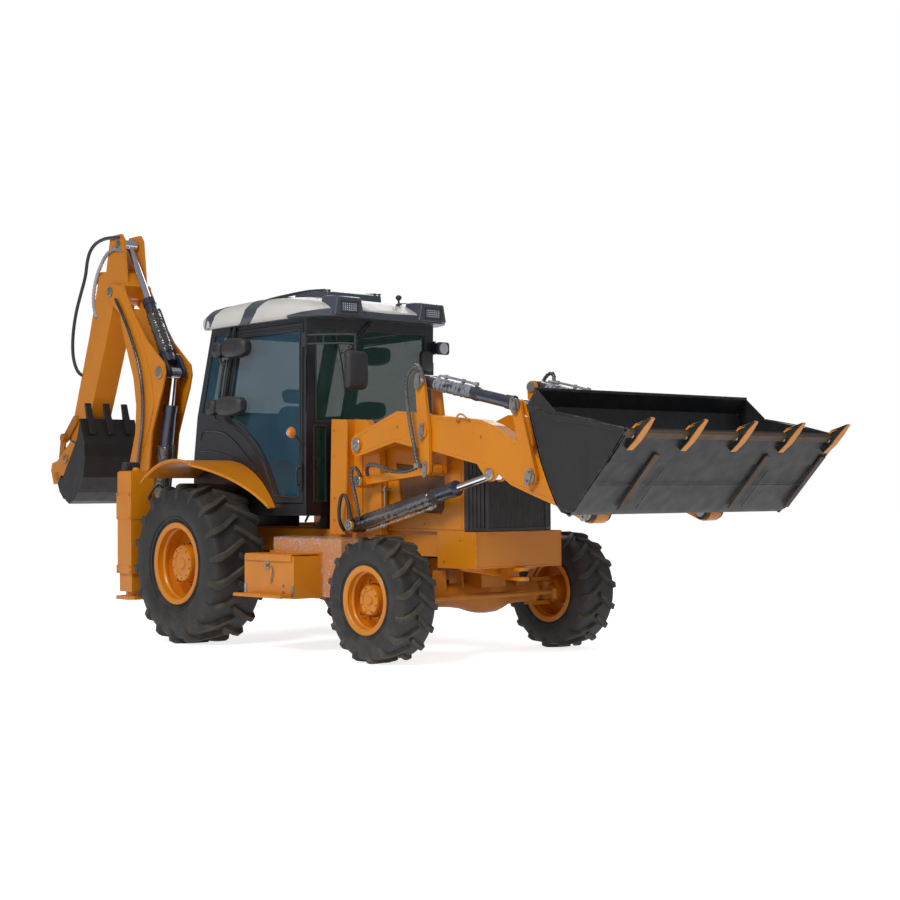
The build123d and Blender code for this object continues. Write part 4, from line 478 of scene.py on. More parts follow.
def roof_ring(x):
    """A closed roof section."""
    return [at(x, y, z) for y, z in roof_half(x, -1) + roof_half(x, 1)[::-1][1:]]


shell = Shape().skin([roof_ring(x) for x in (-366, -340, -300, -250, -200, -100, 0, 100, 200, 300, 450, 600, 750, 850,
                                             950, 1050, 1150, 1230, 1300, 1340, 1372, 1385)])
shell.done("roof_panel", ROOF, bevel=3, hard=50, replaces=("cab_roof",))

# Slate strips over the eaves, the front visor, the lamp pods and the hatch
bands = Shape()
for side in (-1, 1):
    for low_x, high_x, lean, grow in ((-318, -212, 170, 40), (258, 392, 190, 60)):
        rings = []
        for share in range(15):
            t = share / 14
            x0 = low_x + lean * t ** 0.7
            x1 = high_x + (lean + grow) * t ** 0.7
            ring = []
            for x, lift in ((x0, -6), (x0, 4), (x1, 4), (x1, -6)):
                path = roof_half(x, side, lift)
                y, z = path[min(int(t * 15 + 0.5), len(path) - 1)]
                ring.append(at(x, y, z))
            rings.append(ring)
        bands.skin(rings)
bands.done("roof_bands", SLATE, bevel=2)

rings = []
for x in (960, 1000, 1080, 1150, 1230, 1300, 1340, 1372, 1392):
    half = between(EAVE, x) + 5
    rise = 8 + 0.085 * max(x - 760, 0) ** 0.98
    top = min(ROOF_LOW + rise, between(CROWN, x) + 3)
    low = ROOF_LOW - 4 - 6 * (x > 1100)
    rings.append([at(x, -half + 14, low), at(x, -half, low + 10), at(x, -half, top - 6), at(x, -half + 10, top),
                  at(x, half - 10, top), at(x, half, top - 6), at(x, half, low + 10), at(x, half - 14, low)])
Shape().skin(rings).done("roof_visor", SLATE, bevel=4)

for side_name, side in SIDES:
    # lamp pod: station, half width below and above, height
    mid = side * 427
    rings = []
    for x, low_half, top_half, top in ((1160, 96, 82, 2752), (1200, 132, 110, 2766),
                                       (1300, 140, 116, 2764), (1388, 148, 122, 2752),
                                       (1410, 142, 116, 2744)):
        rings.append([at(x, mid - low_half, 2604), at(x, mid - top_half, top - 8), at(x, mid - top_half + 12, top),
                      at(x, mid + top_half - 12, top), at(x, mid + top_half, top - 8), at(x, mid + low_half, 2604)])
    Shape().skin(rings).done(f"roof_pod_{side_name}", SLATE, bevel=6)
    frame_ring = Shape()
    for y, z in (((mid - 84, mid + 84), (2704, 2716)), ((mid - 84, mid + 84), (2624, 2636)),
                 ((mid - 84, mid - 74), (2624, 2716)), ((mid + 74, mid + 84), (2624, 2716))):
        frame_ring.box((1404, 1418), y, z)
    frame_ring.done(f"roof_lamp_frame_{side_name}", PLASTIC, bevel=3)
    lens = Shape()
    rows, columns = 4, 7
    for i in range(columns):
        for k in range(rows):
            cy = mid + (i - (columns - 1) / 2) * 21
            cz = 2670 + (k - (rows - 1) / 2) * 16.5
            lens.lathe((1404, cy, cz), (1, 0, 0), [(0, 10.5), (4, 9), (6.5, 5), (7.5, 0.8)], 8)
    lens.box((1398, 1405), (mid - 78, mid + 78), (2630, 2710))
    lens.done(f"roof_lamp_lens_{side_name}", LENS)

hatch = Shape()
hatch.skin([[at(x, -half, low), at(x, -half + 6, high), at(x, half - 6, high), at(x, half, low)]
            for x, half, low, high in ((455, 262, 2806, 2842), (480, 282, 2806, 2868),
                                       (700, 290, 2790, 2866), (900, 290, 2784, 2856),
                                       (925, 280, 2784, 2846))])
hatch.done("roof_hatch", SLATE, bevel=5)
rails = Shape()
for y in (-286, -236, 236, 286):
    rails.tube([(10, y, 2826), (40, y, 2848), (220, y, 2862), (470, y, 2872), (700, y, 2874),
                (905, y, 2862)], 7, 8, 5)
for x, z in ((60, 2846), (260, 2860)):
    rails.tube([(x, -286, z), (x, 0, z + 4), (x, 286, z)], 6, 8, 4)
rails.done("roof_rails", PLASTIC)
knob = Shape()
knob.lathe((1195, 243, 2745), (0, 0, 1), [(0, 26), (8, 26), (14, 9), (38, 8), (44, 16), (52, 23), (62, 26),
                                                (72, 23), (80, 14), (84, 3)], 24)
knob.tube([(1195, 250, 2760), (1200, 320, 2762), (1204, 400, 2760)], 4, 8, 3)
knob.done("roof_knob", PLASTIC, slot="steel_pin")

# Wipers hang from the roof's front edge
wipers = Shape()
for points, radius in ((((1150, 0, 2590), (1168, -52, 2548), (1166, -226, 2367)), 5),
                       (((1150, -30, 2590), (1168, -80, 2552), (1166, -250, 2378)), 5),
                       (((1152, -382, 2510), (1156, -321, 2293), (1152, -280, 2034)), 6.5),
                       (((1164, -226, 2367), (1162, -262, 2352), (1156, -330, 2320)), 5)):
    wipers.tube(points, radius, 8, 5)
wipers.lathe((1140, -14, 2588), (1, 0, 0), [(0, 22), (24, 22), (32, 14), (36, 4)], 20)
wipers.done("wipers", PLASTIC)

# Door hinge covers: one half stays with the cab, the other swings with the door
# station, height, reach over the door
HINGE_COVERS = ((18, 1935, 372), (110, 2408, 350))


def lump(x, y, z):
    """A rounded cover from (low, high) pairs, drawn in towards both ends."""
    mid_y, mid_z = (y[0] + y[1]) / 2, (z[0] + z[1]) / 2
    rings = []
    for t, s in ((0, 0.45), (0.06, 0.72), (0.25, 0.95), (0.55, 1), (0.85, 0.86), (0.96, 0.66), (1, 0.42)):
        half_y, half_z = (y[1] - y[0]) / 2 * s, (z[1] - z[0]) / 2 * s
        rings.append([at(x[0] + (x[1] - x[0]) * t, mid_y + half_y * a, mid_z + half_z * b) for a, b in
                      ((-1, -0.55), (-0.7, -1), (0.7, -1), (1, -0.55), (1, 0.55), (0.7, 1), (-0.7, 1), (-1, 0.55))])
    return Shape().skin(rings)


for side_name, side in SIDES:
    for number, (x, z, reach) in enumerate(HINGE_COVERS):
        low_y, high_y = sorted((side * 664, side * 786))
        cap = lump((x - 150, x - 14), (low_y, high_y), (z - 62, z + 66))
        cap.tube([(x - 60, side * 735, z - 60), (x - 62, side * 728, z - 96),
                  (x - 40, side * 700, z - 120)], 14, 10, 4)
        cap.bolt((x - 84, side * 784, z), (0, side, 0), 12, 8)
        cap.done(f"hinge_cover_cab_{side_name}_{number}", PLASTIC, bevel=5)
        low_y, high_y = sorted((side * 664, side * 794))
        cap = lump((x + 2, x + reach - 12), (low_y, high_y), (z - 78, z + 82))
        cap.box((x + 60, x + 230), (side * 780, side * 797), (z - 30, z + 30))
        cap.done(f"hinge_cover_door_{side_name}_{number}", PLASTIC, f"door_{side_name}", bevel=7)
    tubes = Shape()
    for shift in (-62, 12):
        tubes.tube([(-10 + shift, side * 664, 2010), (20 + shift, side * 668, 2120),
                    (62 + shift, side * 668, 2270), (86 + shift, side * 664, 2330)], 11, 10, 5)
        tubes.tube([(124 + shift, side * 664, 2492), (140 + shift, side * 668, 2540),
                    (152 + shift, side * 662, 2592)], 11, 10, 4)
    tubes.done(f"pillar_tubes_{side_name}", PLASTIC)

    # door: seal bead round the leaf, glass edge, handle
    door = Shape()
    edge = [(716, 1146), (1080, 1146), (1092, 2550), (188, 2550), (2, 1856), (66, 1800),
            (190, 1745), (330, 1655), (455, 1552), (560, 1425), (640, 1300)]
    cx = sum(p[0] for p in edge) / len(edge)
    cz = sum(p[1] for p in edge) / len(edge)
    for inset, radius in ((10, 4.5), (56, 5.5)):
        ring = []
        for px, pz in edge + edge[:1]:
            d = math.hypot(px - cx, pz - cz)
            ring.append((px + (cx - px) * inset / d, side * (651 if inset > 20 else 652), pz + (cz - pz) * inset / d))
        for a, b in zip(ring, ring[1:]):
            door.rod(a, b, radius, 8)
    door.tube([(1062, side * 650, 1420), (1062, side * 690, 1405), (1062, side * 692, 1300),
               (1062, side * 650, 1285)], 10, 10, 5)
    door.box((1040, 1084), (side * 650, side * 662), (1235, 1450))
    door.bolt((1062, side * 662, 1250), (0, side, 0), 10, 9)
    door.done(f"door_trim_{side_name}", PLASTIC, f"door_{side_name}", bevel=2)

    # raised beads of the rear quarter panel, the lower edge and the front pillar
    beads = Shape()
    for points in (((-380, 1676), (-328, 1748), (-52, 1732), (100, 1670), (203, 1603),
                    (340, 1500), (451, 1401)),
                   ((-369, 1581), (-180, 1572), (-1, 1544), (180, 1502), (327, 1445),
                    (451, 1401)),
                   ((-470, 1150), (-200, 1140), (200, 1132), (690, 1128))):
        beads.bead(points, side * 651, 8)
    beads.box((-60, 30), (side * 648, side * 656), (1340, 1480))
    for low, high in ((1200, 1700), (1850, 2300)):
        beads.rod((1128, side * 655, low), (1132, side * 655, high), 9, 12)
    beads.done(f"cab_beads_{side_name}", BLACK, bevel=1.5)

# Windscreen surround, lower lights and the gutter below the roof
trim = Shape()
for y_low, y_high, z_low, z_high in ((-566, 566, 2514, 2528), (-566, 566, 1778, 1792),
                                     (-568, -556, 1784, 2522), (556, 568, 1784, 2522),
                                     (-582, -570, 1146, 1756), (-464, -452, 1146, 1756),
                                     (570, 582, 1146, 1756), (452, 464, 1146, 1756),
                                     (-582, -452, 1744, 1756), (452, 582, 1744, 1756),
                                     (-582, -452, 1146, 1158), (452, 582, 1146, 1158)):
    x = 1125 + 25 * ((z_low + z_high) / 2 - 1040) / 1560
    trim.box((x - 3, x + 7), (y_low, y_high), (z_low, z_high))
for y in (-640, 640):
    trim.box((-180, 1150), (y - 12, y + 12), (2588, 2604))
trim.box((-180, -160), (-640, 640), (2586, 2604))
trim.done("cab_seals", PLASTIC, bevel=2)

# Mirrors, work lamp, turn lamps and rear lamps, which stand for the plain ones
brackets = Shape()
for z in (2385, 2455):
    brackets.tube([(1158, -652, z), (1220, -620, z), (1380, -480, z), (1456, -414, z - 8)], 8.5, 10, 5)
brackets.tube([(1268, -578, 2385), (1268, -578, 2455)], 7, 8, 2)
brackets.rod((1458, -412, 2310), (1458, -412, 2462), 11)
for side in (-1, 1):
    brackets.box((1105, 1160), (side * 648, side * 670), (2365, 2475))
    brackets.tube([(1118, side * 648, 1600), (1122, side * 690, 1612), (1128, side * 748, 1660),
                   (1132, side * 792, 1684)], 11, 10, 5)
brackets.tube([(1152, 655, 2430), (1170, 664, 2420), (1184, 690, 2412)], 9, 8, 4)
brackets.tube([(1152, 600, 2330), (1172, 580, 2328), (1184, 545, 2318)], 9, 8, 4)
brackets.done("mirror_brackets", PLASTIC, bevel=2, replaces=("lamps_mirrors",))


def shell_box(x, y, z, round_by, taper):
    """A deep-rounded housing, smaller at its back."""
    rings = []
    (x0, x1), (y0, y1), (z0, z1) = x, y, z
    for t, s in ((0, taper - 0.14), (0.12, taper), (0.5, 0.98), (0.9, 1), (1, 0.95)):
        px = x0 + (x1 - x0) * t
        cy, cz = (y0 + y1) / 2, (z0 + z1) / 2
        hy, hz = (y1 - y0) / 2 * s, (z1 - z0) / 2 * s
        r = round_by * s
        ring = []
        for sy, sz, start in ((1, 1, 0), (-1, 1, 0.25), (-1, -1, 0.5), (1, -1, 0.75)):
            for k in range(5):
                turn = math.tau * (start + 0.25 * k / 4)
                ring.append(at(px, cy + sy * (hy - r) + r * math.cos(turn), cz + sz * (hz - r) + r * math.sin(turn)))
        rings.append(ring)
    return Shape().skin(rings)


# name, front and back, y, z, corner radius, width share at the back, material, angle that stays sharp
HOUSINGS = (
    ("mirror_right", (1505, 1448), (-517, -307), (2020, 2325), 42, 0.9, PLASTIC, 50),
    ("mirror_right_face", (1449, 1445.5), (-503, -321), (2034, 2311), 34, 0.99, MIRROR, 35),
    ("mirror_left", (1215, 1168), (480, 600), (2215, 2385), 30, 0.9, PLASTIC, 50),
    ("mirror_left_face", (1169, 1165.5), (490, 590), (2227, 2373), 24, 0.99, MIRROR, 35),
    ("work_lamp", (1165, 1231), (632, 760), (2360, 2465), 22, 0.8, PLASTIC, 50),
)
for name, x, y, z, round_by, taper, mat, hard in HOUSINGS:
    shell_box(x, y, z, round_by, taper).done(name, mat, hard=hard)
Shape().lathe((1231, 696, 2412), (1, 0, 0), [(0, 46), (3, 46), (4.5, 20), (5, 2)], 32).done("work_lamp_lens", LENS)
for side_name, side in SIDES:
    lamp_head = Shape()
    lamp_head.lathe((1120, side * 800, 1690), (1, 0, 0), [(0, 22), (8, 40), (18, 44), (22, 44), (22, 40)], 32)
    lamp_head.done(f"turn_lamp_{side_name}", CHROME, slot="steel_pin")
    lamp_head = Shape()
    lamp_head.lathe((1141, side * 800, 1690), (1, 0, 0), [(0, 40), (8, 39), (14, 30), (18, 14), (19, 1)], 32)
    lamp_head.done(f"turn_lamp_lens_{side_name}", AMBER)
    low, high = sorted((side * 960, side * 1120))
    shell_box((-835, -890), (low, high), (1412, 1495), 18, 0.92).done(
        f"rear_lamp_{side_name}", PLASTIC, hard=50)
    lens = Shape()
    for y in (1000, 1080):
        lens.lathe((-889, side * y, 1453), (-1, 0, 0), [(0, 26), (3, 25), (5, 12), (5.8, 1)], 24)
    lens.done(f"rear_lamp_lens_{side_name}", RED)

# Loader details: plates of levers and pins at the sides of the arm
ARM_PIVOT = (1743, 1580)
LINK_PIVOT = (1760, 1305)
REAR_LEVER_PIN = (2549, 1657)
REAR_LEVER_TOP = (2509, 2018)
LINK_END = (2566, 1382)
FRONT_LEVER_PIN = (3660, 1314)
FRONT_LEVER_TOP = (3518, 1803)
BUCKET_PIN = (4185, 1075)
LIFT_BASE = (1650, 973)
LIFT_EYE = (3225, 1340)
OUTER_FACE, INNER_FACE = 645, 475
PIVOT_FACE = 634
HEAD_FACE = OUTER_FACE + 15


KEEPER_LENGTH, KEEPER_WIDTH = 118, 46


def keeper(piece, point, y, side, turn):
    """An oblong plate over a pin's head, with two bolts."""
    ux, uz = math.cos(turn), math.sin(turn)
    outline = []
    for end in (1, -1):
        for k in range(7):
            a = math.pi * (k / 6 - 0.5)
            along = end * ((KEEPER_LENGTH - KEEPER_WIDTH) / 2 + KEEPER_WIDTH / 2 * math.cos(a))
            across = end * KEEPER_WIDTH / 2 * math.sin(a)
            outline.append((point[0] + along * ux - across * uz, point[1] + along * uz + across * ux))
    piece.plate(outline, y + side * 6, 12)
    for end in (1, -1):
        reach = end * KEEPER_LENGTH * 0.27
        piece.bolt((point[0] + reach * ux, y + side * 12, point[1] + reach * uz), (0, side, 0), 11, 10)


# Label, pin, body, face, turn of its plate in degrees
KEEPERS = (
    ("rear_top", REAR_LEVER_TOP, "rear_levers", HEAD_FACE, 84),
    ("rear_middle", REAR_LEVER_PIN, "lift_arms", HEAD_FACE - 1, 82),
    ("rear_low", LINK_END, "rear_levers", OUTER_FACE, 84),
    ("front_top", FRONT_LEVER_TOP, "front_levers", HEAD_FACE, 100),
    ("front_low", FRONT_LEVER_PIN, "lift_arms", HEAD_FACE, 70),
    ("bucket", BUCKET_PIN, "lift_arms", HEAD_FACE, 60),
)
for side_name, side in SIDES:
    for label, point, body, face, turn in KEEPERS:
        plate = Shape()
        keeper(plate, point, side * face, side, math.radians(turn))
        plate.done(f"keeper_{label}_{side_name}", STEEL, body, bevel=1.5)
    for label, point, radius in (("arm", ARM_PIVOT, 50), ("link", LINK_PIVOT, 44), ("lift", LIFT_BASE, 44)):
        cap = Shape()
        outer = side * PIVOT_FACE
        cap.lathe((point[0], outer, point[1]), (0, side, 0),
                  [(0, radius), (6, radius), (9, radius - 4), (9, radius - 12), (3, radius - 15), (3, 18), (11, 15),
                   (13, 2)], 40)
        for k in range(4):
            turn = math.tau * (k + 0.5) / 4
            cap.bolt((point[0] + (radius - 21) * math.cos(turn), outer + side * 3,
                      point[1] + (radius - 21) * math.sin(turn)), (0, side, 0), 6, 7)
        cap.done(f"pin_cap_{label}_{side_name}", STEEL, bevel=1)

    # arm: weld beads, the handle with its stalk, two bolts and a cap on the lift eye
    arm = Shape()
    arm.tube([(2905, side * 617, 1706), (2905, side * 640, 1722), (2930, side * 646, 1758),
              (2975, side * 646, 1762), (3010, side * 640, 1736), (3022, side * 617, 1716)],
             7, 10, 5)
    for px, pz in ((2216, 1700), (3134, 1600)):
        arm.bolt((px, side * 615, pz), (0, side, 0), 9, 8)
    arm.done(f"arm_handle_{side_name}", ORANGE, "lift_arms")
    weld = Shape()
    for points in (((1790, 1525), (2185, 1612), (2396, 1571)), ((2660, 1530), (2939, 1468),
                                                                           (3180, 1420)),
                   ((3436, 1290), (3672, 1210), (3922, 1132), (4120, 1050)),
                   ((1760, 1645), (2214, 1790), (2413, 1771)),
                   ((2656, 1745), (3134, 1694), (3267, 1650), (3480, 1540))):
        weld.bead(points, side * 614, 4.5, 6, 6)
    weld.done(f"arm_welds_{side_name}", ORANGE, "lift_arms")
    ear = Shape()
    ear.lathe((LIFT_EYE[0], side * 624, LIFT_EYE[1]), (0, side, 0), [(0, 42), (5, 42), (8, 36), (8, 26), (3, 24),
                                                                       (3, 4)], 36)
    ear.done(f"lift_eye_cap_{side_name}", STEEL, "lift_arms", bevel=1)

    # tower: bolts, seam strip, hose guard
    tower = Shape()
    for pz in (1010, 1180, 1500, 1700):
        tower.bolt((1395, side * 575, pz), (0, side, 0), 10, 8)
    tower.bead(((1545, 930), (1558, 1400), (1566, 1765)), side * 576, 5, 6)
    tower.box((1640, 1662), (side * 500, side * 512), (1080, 1690))
    tower.done(f"tower_trim_{side_name}", ORANGE, bevel=2)

# Tilt and lift cylinders: kind, base, eye, body, where the barrel starts and ends, its radius
LOADER_CYLINDERS = (
    ("tilt", REAR_LEVER_TOP, FRONT_LEVER_TOP, "tilt_barrels", 70, 595, 40),
    ("lift", LIFT_BASE, LIFT_EYE, "lift_barrels", 80, 1015, 49),
)


WRAP_RINGS, WRAP_POINTS = 96, 26


def wrap(piece, a, b, y, start, stop, radius, turns, depth):
    """A loose wrapping round a bar from one distance to another, with creases wound about it."""
    run = (at(b[0], y, b[1]) - at(a[0], y, a[1]))
    axis = run.normalized()
    side_v = axis.orthogonal().normalized()
    up_v = axis.cross(side_v)
    rows = []
    for i in range(WRAP_RINGS):
        t = i / (WRAP_RINGS - 1)
        here = at(a[0], y, a[1]) + axis * ((start + (stop - start) * t) / 1000)
        row = []
        for k in range(WRAP_POINTS):
            turn = math.tau * k / WRAP_POINTS
            crease = 2.2 * noise.noise(Vector((t * 4 * turns + turn * 0.8, math.cos(turn), math.sin(turn))))
            crease += 1.1 * noise.noise(Vector((t * 11 * turns, math.cos(turn) * 2.4, math.sin(turn) * 2.4)))
            lump_r = 0.5 * noise.noise(Vector((t * 9, math.cos(turn) * 1.3, math.sin(turn) * 1.3 + y)))
            ends = 1 if 0 < i < WRAP_RINGS - 1 else 0.3
            r = (radius + depth * (0.45 * crease + lump_r + 1) * ends) / 1000
            row.append(here + (side_v * math.cos(turn) + up_v * math.sin(turn)) * r)
        rows.append(row)
    return piece.skin(rows)


def along(a, b, y, distance, up_by=0, out=0):
    """A point beside the line a to b in side view, up_by above it and out across it."""
    span = math.hypot(b[0] - a[0], b[1] - a[1])
    ux, uz = (b[0] - a[0]) / span, (b[1] - a[1]) / span
    return (a[0] + ux * distance - uz * up_by, y + out, a[1] + uz * distance + ux * up_by)


for kind, base, eye, body, start, length, barrel_r in LOADER_CYLINDERS:
    for side_name, side in SIDES:
        y = side * ARM_Y
        cover = Shape()
        wrap(cover, base, eye, y, start + 30, length - 90, barrel_r + 2, 7, 5)
        cover.done(f"{kind}_wrap_{side_name}", WHITE_WRAP if kind == "tilt" else DARK_WRAP, body,
                   hard=24)
        gland = Shape()
        axis = at(*along(base, eye, y, 10)) - at(*along(base, eye, y, 0))
        gland.lathe(along(base, eye, y, length - 78), axis,
                    [(0, barrel_r + 1), (4, barrel_r + 10), (34, barrel_r + 11), (38, barrel_r + 7),
                     (66, barrel_r + 7), (76, barrel_r - 2), (79, barrel_r - 16)], 36)
        gland.done(f"{kind}_gland_{side_name}", PLASTIC, body, "cylinder_paint", bevel=1)
        pipe = Shape()
        lift_by = barrel_r + 26
        turned = -1 if kind == "lift" else 1
        pipe.tube([along(base, eye, y, distance, turned * rise, 0)
                   for distance, rise in ((start + 40, barrel_r - 2), (start + 46, lift_by - 6), (start + 80, lift_by),
                                          (length * 0.5, lift_by + 2), (length - 120, lift_by),
                                          (length - 76, lift_by - 8), (length - 70, barrel_r))], 9.5, 10, 6)
        for share in (0.3, 0.62, 0.86):
            pipe.lathe(along(base, eye, y, length * share, turned * lift_by), axis,
                       [(0, 13), (4, 17), (22, 17), (26, 13)], 16)
        pipe.done(f"{kind}_pipe_{side_name}", FILM if kind == "lift" else WHITE_WRAP, body, "steel_pin")


def hose(name, body, points, radius, mat, twist=0, depth=0):
    """A hose through given control points, wound with wrapping if asked."""
    line = bpy.data.curves.new(name + "_line", "CURVE")
    line.dimensions = "3D"
    line.resolution_u = 16
    spline = line.splines.new("NURBS")
    spline.points.add(len(points) - 1)
    for knot, p in zip(spline.points, points):
        knot.co = (*at(*p), 1)
    spline.order_u = 3
    spline.use_endpoint_u = True
    guide = bpy.data.objects.new(name + "_line", line)
    bpy.context.scene.collection.objects.link(guide)
    traced = bpy.data.meshes.new_from_object(guide)
    path = [v.co.copy() for v in traced.vertices]
    bpy.data.objects.remove(guide)
    bpy.data.meshes.remove(traced)
    rows = []
    across = None
    run_so_far = 0
    for i, here in enumerate(path):
        run = (path[min(i + 1, len(path) - 1)] - path[max(i - 1, 0)]).normalized()
        across = (across - run * across.dot(run)).normalized() if across else run.orthogonal().normalized()
        up = run.cross(across)
        if i:
            run_so_far += (here - path[i - 1]).length
        row = []
        for k in range(12):
            turn = math.tau * k / 12
            swell = 1 + depth * math.sin(twist * run_so_far + turn) if depth else 1
            row.append(here + (across * math.cos(turn) + up * math.sin(turn)) * radius / 1000 * swell)
        rows.append(row)
    obj = Shape().skin(rows).done(name, mat, body, "dark_plastic", hard=60)


# Hoses: name, body, radius, material, turn of the wrapping in radians per metre, route as (x, y, z) with y outward
WINDING = 0.14
HOSES = (
    ("lever_hose", "rear_levers", 15, DARK_WRAP, 210,
     ((2562, 660, 2034), (2566, 672, 2120), (2490, 682, 2136), (2412, 684, 2066),
      (2396, 680, 1960), (2416, 676, 1820), (2446, 676, 1680), (2488, 676, 1540),
      (2502, 674, 1452), (2524, 668, 1418))),
    ("link_hose", "levelling_links", 15, DARK_WRAP, 190,
     ((2500, 668, 1398), (2420, 676, 1372), (2310, 676, 1368), (2183, 676, 1378),
      (2062, 676, 1420), (1950, 668, 1430), (1868, 634, 1400), (1842, 600, 1352))),
    ("tower_hose", "machine", 14, DARK_WRAP, 210,
     ((1796, 634, 1350), (1792, 662, 1402), (1754, 676, 1412), (1732, 674, 1350),
      (1766, 668, 1220), (1815, 664, 1060), (1780, 640, 1010), (1742, 616, 1030))),
    ("tower_hose_low", "machine", 14, HOSE, 0,
     ((1530, 584, 930), (1534, 632, 980), (1534, 640, 1080), (1560, 640, 1192), (1610, 640, 1208),
      (1650, 640, 1150), (1672, 640, 1060), (1690, 636, 1010))),
)
for side_name, side in SIDES:
    for name, body, radius, mat, twist, route in HOSES:
        hose(f"{name}_{side_name}", body, [(x, side * y, z) for x, y, z in route], radius, mat, twist,
             WINDING if twist else 0)
    pipes = Shape()
    for shift in (0, 34):
        pipes.tube([(1866 + shift, side * 480, 1270), (1862 + shift, side * 480, 1150),
                    (1856 + shift, side * 480, 1040), (1850 + shift, side * 476, 960)], 9, 10, 4)
    for z in (1240, 1080):
        pipes.box((1850, 1915), (side * 428, side * 494), (z - 12, z + 12))
    pipes.done(f"tower_pipes_{side_name}", STEEL, bevel=1.5)
    ends = Shape()
    ends.lathe((2560, side * 660, 2006), (0, 0, 1), [(0, 12), (4, 19), (20, 19), (26, 16), (60, 16), (62, 13)], 6)
    ends.box((2490, 2536), (side * 645, side * 690), (1392, 1426))
    ends.done(f"hose_ends_{side_name}", STEEL, "rear_levers", bevel=2)

# Bucket: worn lip, orange tooth faces with their pins, seams, wear strips
BUCKET_HALF = 1045
LIP_LOW, LIP_TIP = (4760, 1384), (4935, 1580)
lip_run = math.hypot(LIP_TIP[0] - LIP_LOW[0], LIP_TIP[1] - LIP_LOW[1])
LIP_U = ((LIP_TIP[0] - LIP_LOW[0]) / lip_run, (LIP_TIP[1] - LIP_LOW[1]) / lip_run)


def lip_point(a, b):
    """A side-view point a past the lip's front edge and b above its line."""
    return (LIP_TIP[0] + LIP_U[0] * a - LIP_U[1] * b, LIP_TIP[1] + LIP_U[1] * a + LIP_U[0] * b)


def lip_at(a, y, b):
    """The same point at y, in metres."""
    px, pz = lip_point(a, b)
    return at(px, y, pz)


lip = Shape()
lip.plate([lip_point(a, b) for a, b in ((-48, -15.5), (-4, -15.5), (2, -4), (2, 6), (-10, 15), (-48, 15.5))],
          0, 2 * BUCKET_HALF + 2)
lip.done("bucket_lip", RUST, "loader_bucket", bevel=2)
TOOTH_SHARES = (-1, -0.5, 0, 0.5, 1)
faces, pins = Shape(), Shape()
for share in TOOTH_SHARES:
    y = share * (BUCKET_HALF - 75)
    rings = []
    for a, top, low, half in ((-132, 37, 30, 24), (-50, 41, 30, 28), (30, 25, 6, 28),
                              (90, -14, -32, 24), (138, -41, -50, 15)):
        rings.append([lip_at(a, y + s, b) for s, b in ((-half, low), (-half + 5, top), (half - 5, top), (half, low))])
    faces.skin(rings)
    rings = []
    for a, top, low, half in ((-132, -24, -30, 26), (-40, -40, -48, 27), (60, -44, -52, 25),
                              (138, -48, -53, 15)):
        rings.append([lip_at(a, y + s, b) for s, b in ((-half, low), (-half, top), (half, top), (half, low))])
    faces.skin(rings)
    spot = lip_point(-36, -2)
    for s in (-1, 1):
        pins.lathe((spot[0], y + s * 25, spot[1]), (0, s, 0), [(0, 19), (5, 19), (7, 14), (5, 11), (5, 1)], 24)
faces.done("bucket_tooth_faces", ORANGE, "loader_bucket", bevel=2.5)
pins.done("bucket_tooth_pins", STEEL, "loader_bucket")
seams = Shape()
for side in (-1, 1):
    y = side * (BUCKET_HALF + 0.5)
    for points in (((4075, 1745), (4190, 1405), (4250, 1275), (4318, 1150), (4425, 1085)),
                   ((4440, 1085), (4840, 1490), (4900, 1572)),
                   ((4300, 1716), (4600, 1660), (4890, 1590))):
        seams.bead(points, y, 4, 6, 6)
    outline = [(4052, 1766), (4290, 1700), (4600, 1652), (4895, 1596), (4900, 1566),
               (4600, 1618), (4285, 1664), (4062, 1730)]
    seams.plate(outline, side * (BUCKET_HALF + 3), 6)
seams.tube([(4640, -BUCKET_HALF + 20, 1252), (4640, 0, 1252), (4640, BUCKET_HALF - 20, 1252)],
           3, 6, 3)
for share in (-0.5, 0.5):
    seams.tube([(4500, share * BUCKET_HALF, 1105), (4740, share * BUCKET_HALF, 1358)], 3, 6, 3)
seams.done("bucket_seams", BUCKET, "loader_bucket", bevel=1)
strips = Shape()
for share in (-0.65, 0.384, 0.955):
    strips.plate([(4500, 1104), (4824, 1446), (4834, 1437), (4510, 1095)], share * BUCKET_HALF, 50)
strips.done("bucket_wear_strips", RUST, "loader_bucket", bevel=2)
bar = Shape()
for x, z in ((4130, 1870), (4050, 1765)):
    bar.rod((x, -BUCKET_HALF, z), (x, BUCKET_HALF, z), 9, 12)
bar.done("bucket_top_bar", BUCKET, "loader_bucket")

# Loader bucket, which stands for the plain one
BUCKET_PATH = ((4130, 1870), (4050, 1765), (4170, 1400), (4230, 1270), (4300, 1140),
               (4350, 1085), (4420, 1068), (4470, 1090), (4830, 1470))
BUCKET_LINK_PIN = (4043, 1564)


def strip(path, thick):
    """The closed outline of a band that follows a side-view path, thick to its left."""
    inner = []
    for i, here in enumerate(path):
        normals = []
        for a, b in ((path[max(i - 1, 0)], here), (here, path[min(i + 1, len(path) - 1)])):
            length = math.hypot(b[0] - a[0], b[1] - a[1])
            if length:
                normals.append((-(b[1] - a[1]) / length, (b[0] - a[0]) / length))
        nx = sum(n[0] for n in normals) / len(normals)
        nz = sum(n[1] for n in normals) / len(normals)
        scale = thick / (nx * nx + nz * nz)
        inner.append((here[0] + nx * scale, here[1] + nz * scale))
    return list(path) + inner[::-1]


def rounded(point, radius):
    """A circle's points in side view."""
    return [(point[0] + radius * math.cos(math.tau * k / 28), point[1] + radius * math.sin(math.tau * k / 28))
            for k in range(28)]


